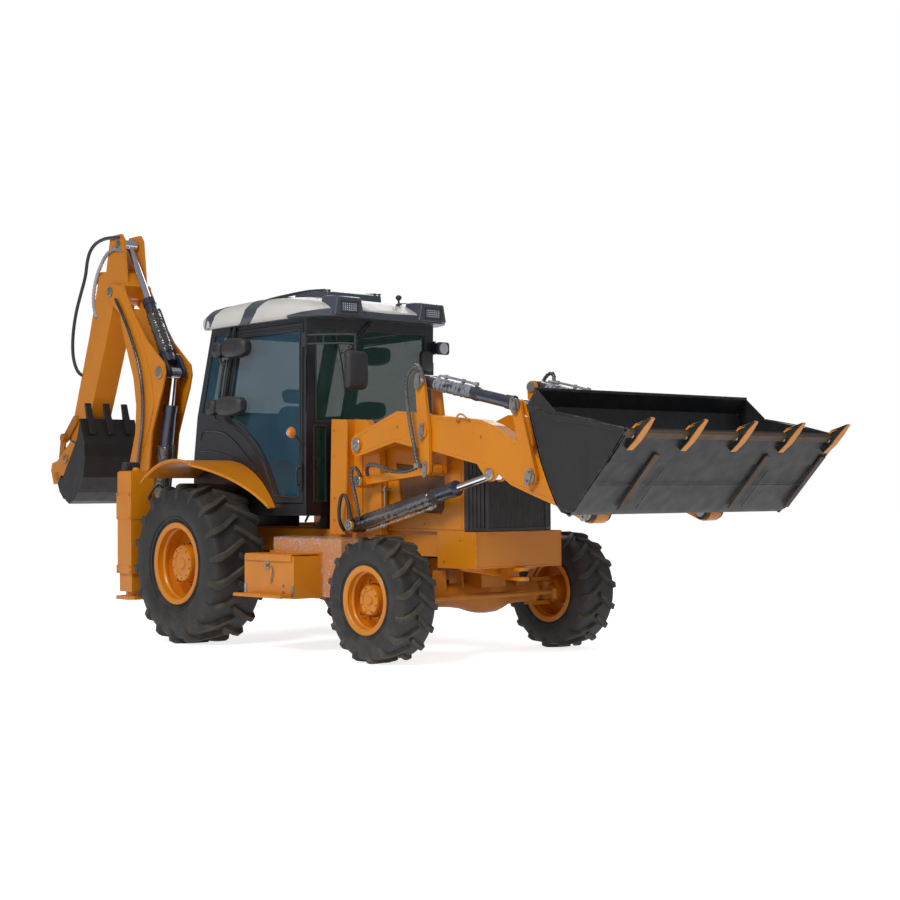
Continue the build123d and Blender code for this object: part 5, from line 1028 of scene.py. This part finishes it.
def hull(points):
    """The convex outline round side-view points."""
    points = sorted(set(points))
    chain = []
    for run in (points, points[::-1]):
        part = []
        for p in run:
            while len(part) > 1 and ((part[-1][0] - part[-2][0]) * (p[1] - part[-2][1])
                                     - (part[-1][1] - part[-2][1]) * (p[0] - part[-2][0])) <= 0:
                part.pop()
            part.append(p)
        chain += part[:-1]
    return chain


bucket = Shape()
bucket.plate(strip(BUCKET_PATH, 14), 0, 2 * BUCKET_HALF)
bucket.plate(strip((LIP_LOW, LIP_TIP), 26), 0, 2 * BUCKET_HALF)
for side in (-1, 1):
    bucket.plate(list(BUCKET_PATH[1:5]) + [(4418, 1058), (4855, 1478), (4935, 1580), (4895, 1596)],
                 side * (BUCKET_HALF - 10), 20)
    bucket.plate([(4130, 1870), (4052, 1766), (4070, 1700), (4290, 1700), (4300, 1722)],
                 side * (BUCKET_HALF - 8), 12)
    for y in (OUTER_FACE - 12.5, INNER_FACE + 12.5):
        for group in (((BUCKET_PIN, 58), ((4216, 1310), 12), ((4290, 1170), 12)),
                      ((BUCKET_LINK_PIN, 46), ((4085, 1690), 12), ((4216, 1310), 12)),
                      ((BUCKET_PIN, 40), (BUCKET_LINK_PIN, 40), ((4180, 1400), 12))):
            bucket.plate(hull([p for point, r in group for p in rounded(point, r)]), side * y, 25)
    bucket.rod((BUCKET_LINK_PIN[0], side * INNER_FACE, BUCKET_LINK_PIN[1]),
               (BUCKET_LINK_PIN[0], side * OUTER_FACE, BUCKET_LINK_PIN[1]), 24)
for share in TOOTH_SHARES:
    bucket.plate([lip_point(a, b) for a, b in ((-130, -27), (-40, -40), (134, -48), (134, -43),
                                               (30, 20), (-50, 37), (-130, 32))],
                 share * (BUCKET_HALF - 75), 50)
bucket.done("bucket_shell", BUCKET, "loader_bucket", bevel=2, replaces=("loader_bucket",))

# Front axle casting round the plain beam, with its cover, ribs and steering ram
axle = Shape()
COVER_Y = 90
RAM_X, RAM_Z = WHEELBASE - 118, 500
centre = (WHEELBASE, 0, FRONT_RADIUS)
axle.lathe(centre, (0, 1, 0), [(-590, 62), (-584, 88), (-560, 92), (-538, 82), (-500, 80), (-330, 82), (-240, 90),
                               (-150, 104), (-70, 128), (0, 141), (80, 146), (170, 141), (230, 122), (300, 94),
                               (380, 82), (500, 80), (538, 82), (560, 92), (584, 88), (590, 62)], 44)
axle.lathe((WHEELBASE + 100, COVER_Y, FRONT_RADIUS), (1, 0, 0),
           [(0, 104), (22, 104), (30, 96), (44, 78), (50, 52), (52, 8)], 40)
axle.lathe((WHEELBASE - 100, COVER_Y, FRONT_RADIUS), (-1, 0, 0), [(0, 104), (30, 100), (40, 74), (110, 60), (140, 56),
                                                         (146, 40)], 32)
for k in range(12):
    turn = math.tau * k / 12
    axle.bolt((WHEELBASE + 122, COVER_Y + 90 * math.cos(turn), FRONT_RADIUS + 90 * math.sin(turn)), (1, 0, 0), 8, 8)
for s in (-1, 1):
    for y in (300, 470):
        axle.plate([(WHEELBASE - 75, 500), (WHEELBASE - 60, 640), (WHEELBASE + 60, 640),
                    (WHEELBASE + 75, 500)], s * (y - 110), 22)
    axle.slab([(WHEELBASE - 82, s * 480), (WHEELBASE + 82, s * 480), (WHEELBASE + 66, s * 600),
               (WHEELBASE - 66, s * 600)], 440, 464)
axle.done("front_axle_casting", CASTING, bevel=3, hard=45)
ram = Shape()
ram.lathe((RAM_X, -170, RAM_Z), (0, 1, 0), [(0, 20), (6, 33), (30, 33), (34, 28), (306, 28), (310, 33),
                                                         (334, 33), (340, 20)], 28)
ram.done("steering_ram", BARREL, bevel=1)
ram = Shape()
ram.rod((RAM_X, -380, RAM_Z), (RAM_X, 380, RAM_Z), 14, 24)
ram.done("steering_ram_rod", CHROME)

# Belly plate, and the bolts and beads of the nose
belly = Shape()
outline = ((-415, 667), (-350, 642), (-60, 602), (80, 602), (350, 642), (415, 667))
belly.skin([[at(WHEELBASE + x, y, z) for y, z in outline] for x in (259, 283)])
belly.lathe((WHEELBASE + 283, 20, 638), (1, 0, 0), [(0, 30), (10, 30), (14, 24), (14, 4)], 32)
belly.done("belly_plate", ORANGE, bevel=3)
nose = Shape()
for s in (-1, 1):
    nose.bolt((2700, s * 433, 880), (0, s, 0), 12, 9)
    nose.bolt((2520, s * 433, 720), (0, s, 0), 12, 9)
    nose.tube([(2861, s * 424, 675), (2861, s * 424, 920)], 5, 8, 2)
for z in (922, 673):
    nose.tube([(2861, y, z) for y in (-430, 0, 430)], 5, 8, 2)
nose.done("nose_trim", ORANGE)


def perforated(name, colour, second, hole, pitch):
    """A sheet with rows of dark holes, pitch apart in millimetres."""
    mat = surface(name, colour, second, 0.5, grain=(300, 0.1), dust=0.1)
    tree = mat.node_tree
    shader = tree.nodes["Principled BSDF"]
    base = shader.inputs["Base Color"].links[0].from_socket
    where = put(tree, "SeparateXYZ", {0: put(tree, "TexCoord").outputs["Object"]})
    k = math.tau / (pitch / 1000)
    flat = put(tree, "Math", {0: where.outputs[0], 1: where.outputs[1]}, operation="ADD")
    a = put(tree, "Math", {0: times(tree, flat.outputs[0], k)}, operation="SINE")
    b = put(tree, "Math", {0: times(tree, where.outputs[2], k)}, operation="SINE")
    spots = spread(tree, times(tree, a.outputs[0], b.outputs[0]), -0.05, 0.15)
    tree.links.new(mixed(tree, spots, base, hole), shader.inputs["Base Color"])
    return mat


SIDE_MESH = perforated("side_mesh", (0.26, 0.10, 0.015, 1), (0.17, 0.07, 0.016, 1), (0.003, 0.003, 0.003, 1), 29)
FRONT_MESH = perforated("front_mesh", (0.022, 0.021, 0.022, 1), (0.04, 0.036, 0.034, 1), (0.003, 0.003, 0.003, 1), 15)

# Hood sides: perforated vents in their frames, bead and bolts
HOOD_FACE = 430
VENT = ((1975, 1440), (2035, 1150), (2090, 1075), (2500, 1060), (2530, 1100), (2530, 1380))
mesh_panel = Shape()
for side in (-1, 1):
    middle = (sum(p[0] for p in VENT) / 6, sum(p[1] for p in VENT) / 6)
    mesh_panel.plate([toward(p, middle, 2) for p in VENT], side * 421, 4)
mesh_panel.done("hood_side_mesh", SIDE_MESH, slot="dark_mesh")
frames = Shape()
for side in (-1, 1):
    ring = [toward(p, middle, -7) for p in VENT]
    for a, b in zip(ring, ring[1:] + ring[:1]):
        frames.rod((a[0], side * HOOD_FACE, a[1]), (b[0], side * HOOD_FACE, b[1]), 5, 8)
    for line in (((1250, 950), (1800, 948), (2740, 944)),
                 ((2715, 950), (2718, 1200), (2720, 1470))):
        frames.bead(line, side * (HOOD_FACE + 1), 4, 6, 3)
    for px, pz in ((2674, 992), (2300, 985), (2600, 1440), (2640, 1240), (1900, 985)):
        frames.bolt((px, side * HOOD_FACE, pz), (0, side, 0), 8, 7)
frames.done("hood_trim", ORANGE)

# Grille: a folded sheet in its frame
grille = Shape()
front_line = ((-424, 2754), (-290, 2836), (290, 2836), (424, 2754))
FOLDS = 70
crests = []
for i in range(FOLDS + 1):
    y = -424 + 848 * i / FOLDS
    crests.append((between(front_line, y) + (9 if i % 2 else 0), y))
outline = crests + [(x - 14, y) for x, y in crests[::-1]]
grille.slab(outline, 952, 1452)
grille.done("grille_folds", FRONT_MESH, slot="dark_mesh", hard=20)
surround = Shape()
for low, high in ((932, 956), (1448, 1474)):
    plan = [(2752, -432), (2850, -296), (2850, 296), (2752, 432), (2745, 418), (2826, 286),
            (2826, -286), (2745, -418)]
    surround.slab(plan, low, high)
for s in (-1, 1):
    surround.slab([(2748, s * 434), (2772, s * 412), (2764, s * 402), (2742, s * 420)], 932, 1474)
    surround.slab([(2838, s * 306), (2852, s * 296), (2852, s * 280), (2830, s * 290)], 932, 1474)
surround.done("grille_frame", PLASTIC, bevel=3)

# Side boxes: film over both, toothed step, hasp, chain and edge of the toolbox
STEP_TEETH, LID_TEETH = 34, 22
for side_name, side in SIDES:
    rings = []
    for i in range(26):
        x = 884 + (1756 - 884) * i / 25
        ring = []
        for y, z in ((506, 430), (506, 560), (506, 700), (506, 872), (600, 874), (690, 874),
                     (784, 872), (785, 790), (785, 690), (785, 590), (785, 500), (785, 430)):
            wob = 7 * noise.noise(Vector((x / 60, y / 90 + side, z / 45))) + 5
            ring.append(at(x, side * (y + (wob if y > 700 else 0)), z + (wob if z > 800 else 0)))
        rings.append(ring)
    Shape().skin(rings).done(f"tank_film_{side_name}", FILM, slot="orange_paint", hard=12)
    step = Shape()
    far, near = (side * 1163, side * 1154)
    edge = [(868 + 620 * i / (STEP_TEETH * 2), far if i % 2 else near) for i in range(STEP_TEETH * 2 + 1)]
    step.slab([(868, side * 1130)] + edge + [(1488, side * 1130)], 447, 456)
    for i in range(9):
        step.box((890 + i * 68, 930 + i * 68), (side * 1070, side * 1120), (447, 453))
    step.done(f"step_teeth_{side_name}", ORANGE, bevel=1)
box_trim = Shape()
for x in (880, 1498):
    box_trim.box((x - 14, x + 14), (-1056, -1049), (440, 520))
box_trim.box((1150, 1200), (-1056, -1049), (640, 700))
box_trim.lathe((1175, -1062, 668), (0, -1, 0), [(0, 9), (4, 12), (18, 12), (22, 8)], 20)
for z in (470, 520):
    box_trim.bolt((1380, -1050, z), (0, -1, 0), 8, 7)
box_trim.done("toolbox_hasp", STEEL, bevel=1.5)
chain = Shape()
for i in range(9):
    z = 660 - i * 15
    x = 1240 + 10 * math.sin(i * 0.6)
    flat = (0, -1, 0) if i % 2 else (1, 0, 0)
    chain.lathe((x, -1056, z), flat, [(-2.2, 5.2), (-2.2, 9), (2.2, 9), (2.2, 5.2)], 12, True)
chain.done("toolbox_chain", STEEL)
lid = Shape()
edge = [(890 + 598 * i / (LID_TEETH * 2), 700 if i % 2 else 706) for i in range(LID_TEETH * 2 + 1)]
lid.plate(edge + [(1488, 752), (890, 752)], -1060, 3)
lid.box((905, 1473), (-1030, -830), (756.5, 759))
lid.tube([(1120, -960, 758), (1124, -960, 782), (1190, -960, 786), (1256, -960, 782),
          (1260, -960, 758)], 6, 10, 4)
lid.done("toolbox_lid_edge", ORANGE, "toolbox_lid", bevel=1)

# Fender rims follow the arc of the fender, up to the cab
FENDER_RADIUS = 842
for side_name, side in SIDES:
    fender = Shape()
    turns = (math.radians(36 + 92 * i / 16) for i in range(17))
    arc = [(FENDER_RADIUS * math.cos(turn), REAR_RADIUS + FENDER_RADIUS * math.sin(turn)) for turn in turns]
    fender.bead([p for p in arc if p[0] < 250], side * 1150, 10, 10, 2)
    fender.done(f"fender_rim_{side_name}", ORANGE)

# Stabiliser posts: caps, collar bolts, hoses
for side_name, side in SIDES:
    post = Shape()
    for z in (1024, 1216, 564, 606):
        for x in (-888, -697):
            post.bolt((x, side * 1157, z), (0, side, 0), 9, 8)
    for z in (1070, 1170):
        for y in (965, 1110):
            post.bolt((-912, side * y, z), (-1, 0, 0), 10, 9)
    post.box((-895, -690), (side * 935, side * 1140), (1408, 1418))
    post.lathe((-792, side * 1036, 1418), (0, 0, 1), [(0, 34), (10, 34), (16, 28), (26, 26), (30, 8)], 32)
    post.done(f"post_trim_{side_name}", ORANGE, bevel=1.5)
    hose(f"post_hose_{side_name}", "machine",
         [(-676, side * 985, 1180), (-640, side * 975, 1240), (-620, side * 930, 1300),
          (-650, side * 860, 1290), (-680, side * 800, 1180), (-700, side * 740, 1060),
          (-735, side * 700, 955)], 11, HOSE)

# Backhoe: bosses, ear plates, wrapped cylinders, pipes and hoses
KNUCKLE, CYLINDER_FOOT, DIPPER_TAIL = (-965, 2285), (-1215, 1012), (-1725, 3495)
HOE_ENDS = (
    ("knuckle", KNUCKLE, "boom", 156, 52), ("boom_foot", (-1530, 760), "kingpost", 198, 46),
    ("cylinder_foot", CYLINDER_FOOT, "kingpost", 198, 40), ("dipper_pin", (-1808, 3068), "boom", 160, 44),
    ("dipper_tail", DIPPER_TAIL, "dipper", 116, 44), ("bucket_pin", (-2580, 1560), "dipper", 200, 34),
)
for label, point, body, reach, radius in HOE_ENDS:
    boss = Shape()
    for s in (-1, 1):
        boss.lathe((point[0], HOE_Y + s * reach, point[1]), (0, s, 0), [(-6, radius), (3, radius), (6, radius - 5),
                                                                       (6, radius - 14), (1, radius - 16), (1, 8)], 36)
        for k in range(3):
            turn = math.tau * k / 3 + 0.4
            boss.bolt((point[0] + (radius - 22) * math.cos(turn), HOE_Y + s * (reach + 1),
                       point[1] + (radius - 22) * math.sin(turn)), (0, s, 0), 5, 5)
    boss.done(f"hoe_boss_{label}", STEEL, body, bevel=1)
HOE_EAR = ((-2857, 1523), (-2760, 1541), (-2581, 1664), (-2486, 1728), (-2405, 1700),
           (-2390, 1560), (-2440, 1330), (-2520, 1290), (-2600, 1300), (-2774, 1327),
           (-2830, 1321), (-2879, 1456))
ears = Shape()
for s in (-1, 1):
    ears.plate([toward(p, (-2640, 1470), 3) for p in HOE_EAR], HOE_Y + s * 182.5, 3)
ears.done("hoe_ear_faces", ORANGE, "hoe_bucket", bevel=1)
hoe_trim = Shape()
for y in (-190, 0, 190):
    hoe_trim.plate([(-2071, 1862), (-2047, 1782), (-2083, 1801), (-2128, 1901), (-2158, 2040),
                    (-2140, 2036)], HOE_Y + y, 62)
for s in (-1, 1):
    hoe_trim.plate([(-2124, 1921), (-2046, 1687), (-2034, 1571), (-2052, 1574), (-2066, 1684),
                    (-2146, 1912)], HOE_Y + s * 287, 5)
hoe_trim.done("hoe_bucket_trim", BUCKET, "hoe_bucket", bevel=2)

HOE_CYLINDERS = (
    ("boom", CYLINDER_FOOT, KNUCKLE, "boom_barrel", 120, 640, 66),
    ("dipper", KNUCKLE, DIPPER_TAIL, "dipper_barrel", 210, 640, 56),
)
for kind, base, eye, body, start, stop, radius in HOE_CYLINDERS:
    cover = Shape()
    wrap(cover, base, eye, HOE_Y, start, stop, radius, 6, 6)
    cover.done(f"hoe_{kind}_wrap", DARK_WRAP, body, hard=24)
    pipe = Shape()
    for s in (-1, 1):
        pipe.tube([along(base, eye, HOE_Y, distance, -radius + rise, s * 30)
                   for distance, rise in ((start - 10, 6), (start + 10, -16), ((start + stop) / 2, -18),
                                          (stop - 6, -16), (stop + 16, 6))], 9, 10, 5)
    pipe.done(f"hoe_{kind}_pipes", PLASTIC, body)

HOE_HOSES = (
    ("dipper_loop", "dipper", 15, HOSE, 0,
     ((-1700, -440, 3556), (-1760, -440, 3580), (-1890, -418, 3560), (-2010, -412, 3450),
      (-2120, -414, 3300), (-2260, -424, 3060), (-2390, -428, 2760), (-2480, -432, 2520),
      (-2470, -438, 2400), (-2400, -440, 2340))),
    ("dipper_loop_back", "dipper", 16, HOSE, 0,
     ((-1700, -660, 3556), (-1860, -676, 3578), (-2065, -684, 3562), (-2200, -684, 3500),
      (-2262, -684, 3400), (-2290, -684, 3260), (-2380, -684, 3110), (-2480, -684, 2930),
      (-2540, -684, 2720), (-2545, -682, 2540), (-2500, -676, 2420), (-2440, -668, 2355),
      (-2400, -660, 2340))),
    ("dipper_loop_wrapped", "dipper", 16, WHITE_WRAP, 160,
     ((-1660, -650, 3420), (-1740, -676, 3470), (-1900, -676, 3440), (-2040, -672, 3330),
      (-2130, -672, 3200), (-2180, -668, 3050), (-2170, -662, 2920), (-2120, -660, 2860))),
)
for name, body, radius, mat, twist, route in HOE_HOSES:
    hose(name, body, route, radius, mat, twist, WINDING if twist else 0)
BOOM_HOSE = ((-1400, 158, 900), (-1380, 166, 1100), (-1320, 170, 1400), (-1230, 170, 1750), (-1200, 170, 2050),
             (-1260, 170, 2350), (-1420, 170, 2650), (-1600, 170, 2900), (-1690, 164, 2990))
for side_name, side, mat, twist in (("left", 1, HOSE, 0), ("right", -1, DARK_WRAP, 150)):
    hose(f"boom_hose_{side_name}", "boom", [(x, HOE_Y + side * y, z) for x, y, z in BOOM_HOSE], 15, mat, twist,
         WINDING if twist else 0)

# Seat: cushions swelled from slightly smaller closed forms by cloth under pressure
CLOTH_STEPS, PRESSURE, VOXEL = 20, 4, 0.008


def puff(obj, cap):
    """Swells a closed form as a filled cushion, no point moving more than cap metres."""
    scene = bpy.context.scene
    mod = obj.modifiers.new("voxels", "REMESH")
    mod.mode = "VOXEL"
    mod.voxel_size = VOXEL
    graph = bpy.context.evaluated_depsgraph_get()
    obj.data = bpy.data.meshes.new_from_object(obj.evaluated_get(graph))
    obj.modifiers.clear()
    start = [v.co.copy() for v in obj.data.vertices]
    cloth = obj.modifiers.new("cloth", "CLOTH")
    cloth.settings.use_pressure = True
    cloth.settings.uniform_pressure_force = PRESSURE
    cloth.settings.effector_weights.gravity = 0
    for step_at in range(CLOTH_STEPS):
        scene.frame_set(step_at + 1)
    graph = bpy.context.evaluated_depsgraph_get()
    swelled = bpy.data.meshes.new_from_object(obj.evaluated_get(graph))
    obj.modifiers.clear()
    for v, origin in zip(swelled.vertices, start):
        shift = v.co - origin
        if shift.length > cap:
            v.co = origin + shift * (cap / shift.length)
    obj.data = swelled
    scene.frame_set(1)


def cushion(name, rings, cap=0.012):
    """A padded piece lofted through rings of points."""
    obj = Shape().skin(rings).plain(name)
    puff(obj, cap)
    obj.data.materials.clear()
    obj.data.materials.append(FABRIC)
    shade_smooth(obj.data)
    soft = obj.modifiers.new("soft", "SUBSURF")
    soft.levels = soft.render_levels = 1
    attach(obj, "machine")
    return obj


def pad_ring(centre, up, half_w, half_t, pull):
    """A crowned section across the seat: half width, half thickness, and the pull of its side seam."""
    points = []
    for k in range(24):
        turn = math.tau * k / 24
        c, s = math.cos(turn), math.sin(turn)
        a = math.copysign(abs(c) ** 0.45, c)
        b = math.copysign(abs(s) ** 0.55, s)
        points.append(centre + Vector((0, a * (half_w - pull * (abs(b) < 0.35)), 0)) / 1000
                      + up * (b * half_t / 1000))
    return points


# Distance along the pad, half width, half thickness
SEAT_ROWS = ((0, 170, 26), (12, 205, 44), (60, 218, 54), (160, 222, 52), (260, 222, 48),
             (360, 220, 50), (430, 212, 52), (465, 196, 42), (478, 168, 26))
BACK_ROWS = ((0, 160, 24), (14, 190, 40), (80, 206, 46), (200, 208, 40), (320, 200, 40),
             (400, 180, 42), (436, 150, 36), (448, 118, 22))
HEAD_ROWS = ((0, 86, 20), (10, 108, 34), (60, 116, 38), (100, 110, 34), (116, 84, 20))
flat_up = Vector((0, 0, 1))
rings = [pad_ring(at(236 + run, 0, 1466 + 8 * (run > 400)), flat_up, w, t, 8) for run, w, t in SEAT_ROWS]
seat = cushion("seat_base", rings)
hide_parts("seat_cushions")
lean = Vector((-0.216, 0, 0.976))
square = Vector((0.976, 0, 0.216))
foot = at(190, 0, 1530)
cushion("seat_back", [pad_ring(foot + lean * (run / 1000), square, w, t, 8) for run, w, t in BACK_ROWS])
foot = at(86, 0, 1990)
cushion("seat_head", [pad_ring(foot + lean * (run / 1000), square, w, t, 5) for run, w, t in HEAD_ROWS], 0.008)
seams = Shape()
for y in (-120, 120):
    for line in (((250, 1514), (330, 1523), (480, 1520), (640, 1524), (700, 1516)),
                 ((222, 1560), (214, 1640), (190, 1760), (164, 1880), (150, 1940))):
        seams.bead(line, y, 4, 6, 5)
seams.done("seat_seams", FABRIC)
controls = Shape()
wheel_at, wheel_axis = (800, 0, 1690), Vector((-130, 0, 250))
controls.lathe(wheel_at, wheel_axis, [(-16, 182), (-9, 172), (9, 172), (16, 182), (9, 196), (-9, 196)], 48, True)
controls.lathe(wheel_at, wheel_axis, [(-26, 40), (20, 46), (28, 36), (30, 6)], 32)
for side in (-1, 1):
    for x, y in ((560, 360), (620, 330), (620, 390)):
        controls.tube([(x, side * y, 1600), (x + 6, side * y, 1680), (x + 2, side * y, 1740)], 6, 8, 4)
        controls.lathe((x + 2, side * y, 1735), (0, 0, 1), [(0, 10), (8, 19), (26, 22), (40, 18), (48, 8), (50, 1)], 20)
    controls.box((380, 700), (side * 305, side * 415), (1598, 1622))
controls.box((862, 1062), (-205, 205), (1480, 1500))
controls.done("cab_levers", PLASTIC, bevel=3)

# Edges of the plain nodes catch light
for name in ("main_frame", "hood", "side_boxes", "toolbox_lid", "rear_frame", "lift_arms", "rear_levers",
             "front_levers", "bucket_links", "levelling_links", "boom", "dipper", "kingpost", "carriage",
             "hoe_bucket", "hoe_link", "hoe_rocker", "cab_frame", "door_right", "door_left", "stabiliser_leg_right",
             "stabiliser_leg_left", "rear_fenders"):
    soften(NODES[name], 3)

# Camera, lamps, backdrop
CAMERA_AT = (10.812, -8.528, 1.213)
AZIMUTH, PITCH, ROLL = math.radians(48.98), math.radians(1.44), math.radians(-0.41)
FOCAL_PX, SENSOR, IMAGE_PX = 1699.65, 36, 900
cam = bpy.data.cameras.new("camera")
cam.lens = FOCAL_PX * SENSOR / IMAGE_PX
cam.sensor_width = SENSOR
camera = bpy.data.objects.new("camera", cam)
bpy.context.scene.collection.objects.link(camera)
look = Vector((-math.sin(AZIMUTH) * math.cos(PITCH), math.cos(AZIMUTH) * math.cos(PITCH), math.sin(PITCH)))
level = Vector((math.cos(AZIMUTH), math.sin(AZIMUTH), 0))
tall = level.cross(look)
right = level * math.cos(ROLL) + tall * math.sin(ROLL)
up = -level * math.sin(ROLL) + tall * math.cos(ROLL)
camera.matrix_world = Matrix.Translation(CAMERA_AT) @ Matrix((right, up, -look)).transposed().to_4x4()
bpy.context.scene.camera = camera

# Lamp, place, aim, size in metres, power in watts, colour
LAMPS = (
    ("key", (3.5, -9, 9), (0, 0, 1), 4, 760, (1, 0.97, 0.92)),
    ("fill", (11, -3, 4), (1, 0, 1.2), 6, 170, (0.93, 0.96, 1)),
    ("back", (-7, 7, 7), (0, 0, 1.2), 6, 300, (1, 1, 1)),
)
for name, place, aim, size, power, colour in LAMPS:
    lamp = bpy.data.lights.new(name, "AREA")
    lamp.shape = "DISK"
    lamp.size = size
    lamp.energy = power
    lamp.color = colour
    holder = bpy.data.objects.new(name, lamp)
    holder.location = place
    holder.rotation_euler = (Vector(aim) - Vector(place)).to_track_quat("-Z", "Y").to_euler()
    bpy.context.scene.collection.objects.link(holder)

WORLD_LIGHT = 0.31
world = bpy.data.worlds.new("studio")
world.use_nodes = True
bpy.context.scene.world = world
sky = world.node_tree
back = sky.nodes["Background"]
seen = put(sky, "LightPath")
shown = put(sky, "Math", {0: seen.outputs["Is Camera Ray"], 1: seen.outputs["Is Transmission Ray"]},
            operation="MAXIMUM")
white = put(sky, "Background", {"Color": (1, 1, 1, 1), "Strength": 1})
back.inputs["Color"].default_value = (0.86, 0.9, 1, 1)
back.inputs["Strength"].default_value = WORLD_LIGHT
sky.links.new(put(sky, "MixShader", {0: shown.outputs[0], 1: back.outputs[0], 2: white.outputs[0]}).outputs[0],
              sky.nodes["World Output"].inputs["Surface"])

# The floor shows white beyond the shadow: what the eye sees gets a share of its own light
floor_mat = bpy.data.materials.new("pale_floor")
floor_mat.use_nodes = True
tree = floor_mat.node_tree
paint = tree.nodes["Principled BSDF"]
paint.inputs["Base Color"].default_value = (0.9, 0.9, 0.9, 1)
paint.inputs["Roughness"].default_value = 0.9
paint.inputs["Specular IOR Level"].default_value = 0
FLOOR_LIFT = 0.78
rays = put(tree, "LightPath")
plain = put(tree, "Math", {0: rays.outputs["Is Camera Ray"], 1: rays.outputs["Is Glossy Ray"]}, operation="MAXIMUM")
plain = put(tree, "Math", {0: plain.outputs[0], 1: rays.outputs["Is Transmission Ray"]}, operation="MAXIMUM")
lit = put(tree, "Emission", {"Color": (1, 1, 1, 1), "Strength": times(tree, plain.outputs[0], FLOOR_LIFT)})
tree.links.new(put(tree, "AddShader", {0: paint.outputs[0], 1: lit.outputs[0]}).outputs[0],
               tree.nodes["Material Output"].inputs["Surface"])
floor_mesh = bpy.data.meshes.new("floor")
FLOOR_HALF = 60
floor_mesh.from_pydata([(-FLOOR_HALF, -FLOOR_HALF, 0), (FLOOR_HALF, -FLOOR_HALF, 0), (FLOOR_HALF, FLOOR_HALF, 0),
                        (-FLOOR_HALF, FLOOR_HALF, 0)], [], [(0, 1, 2, 3)])
floor = bpy.data.objects.new("floor", floor_mesh)
floor_mesh.materials.append(floor_mat)
bpy.context.scene.collection.objects.link(floor)
bpy.context.scene.view_settings.view_transform = "Standard"
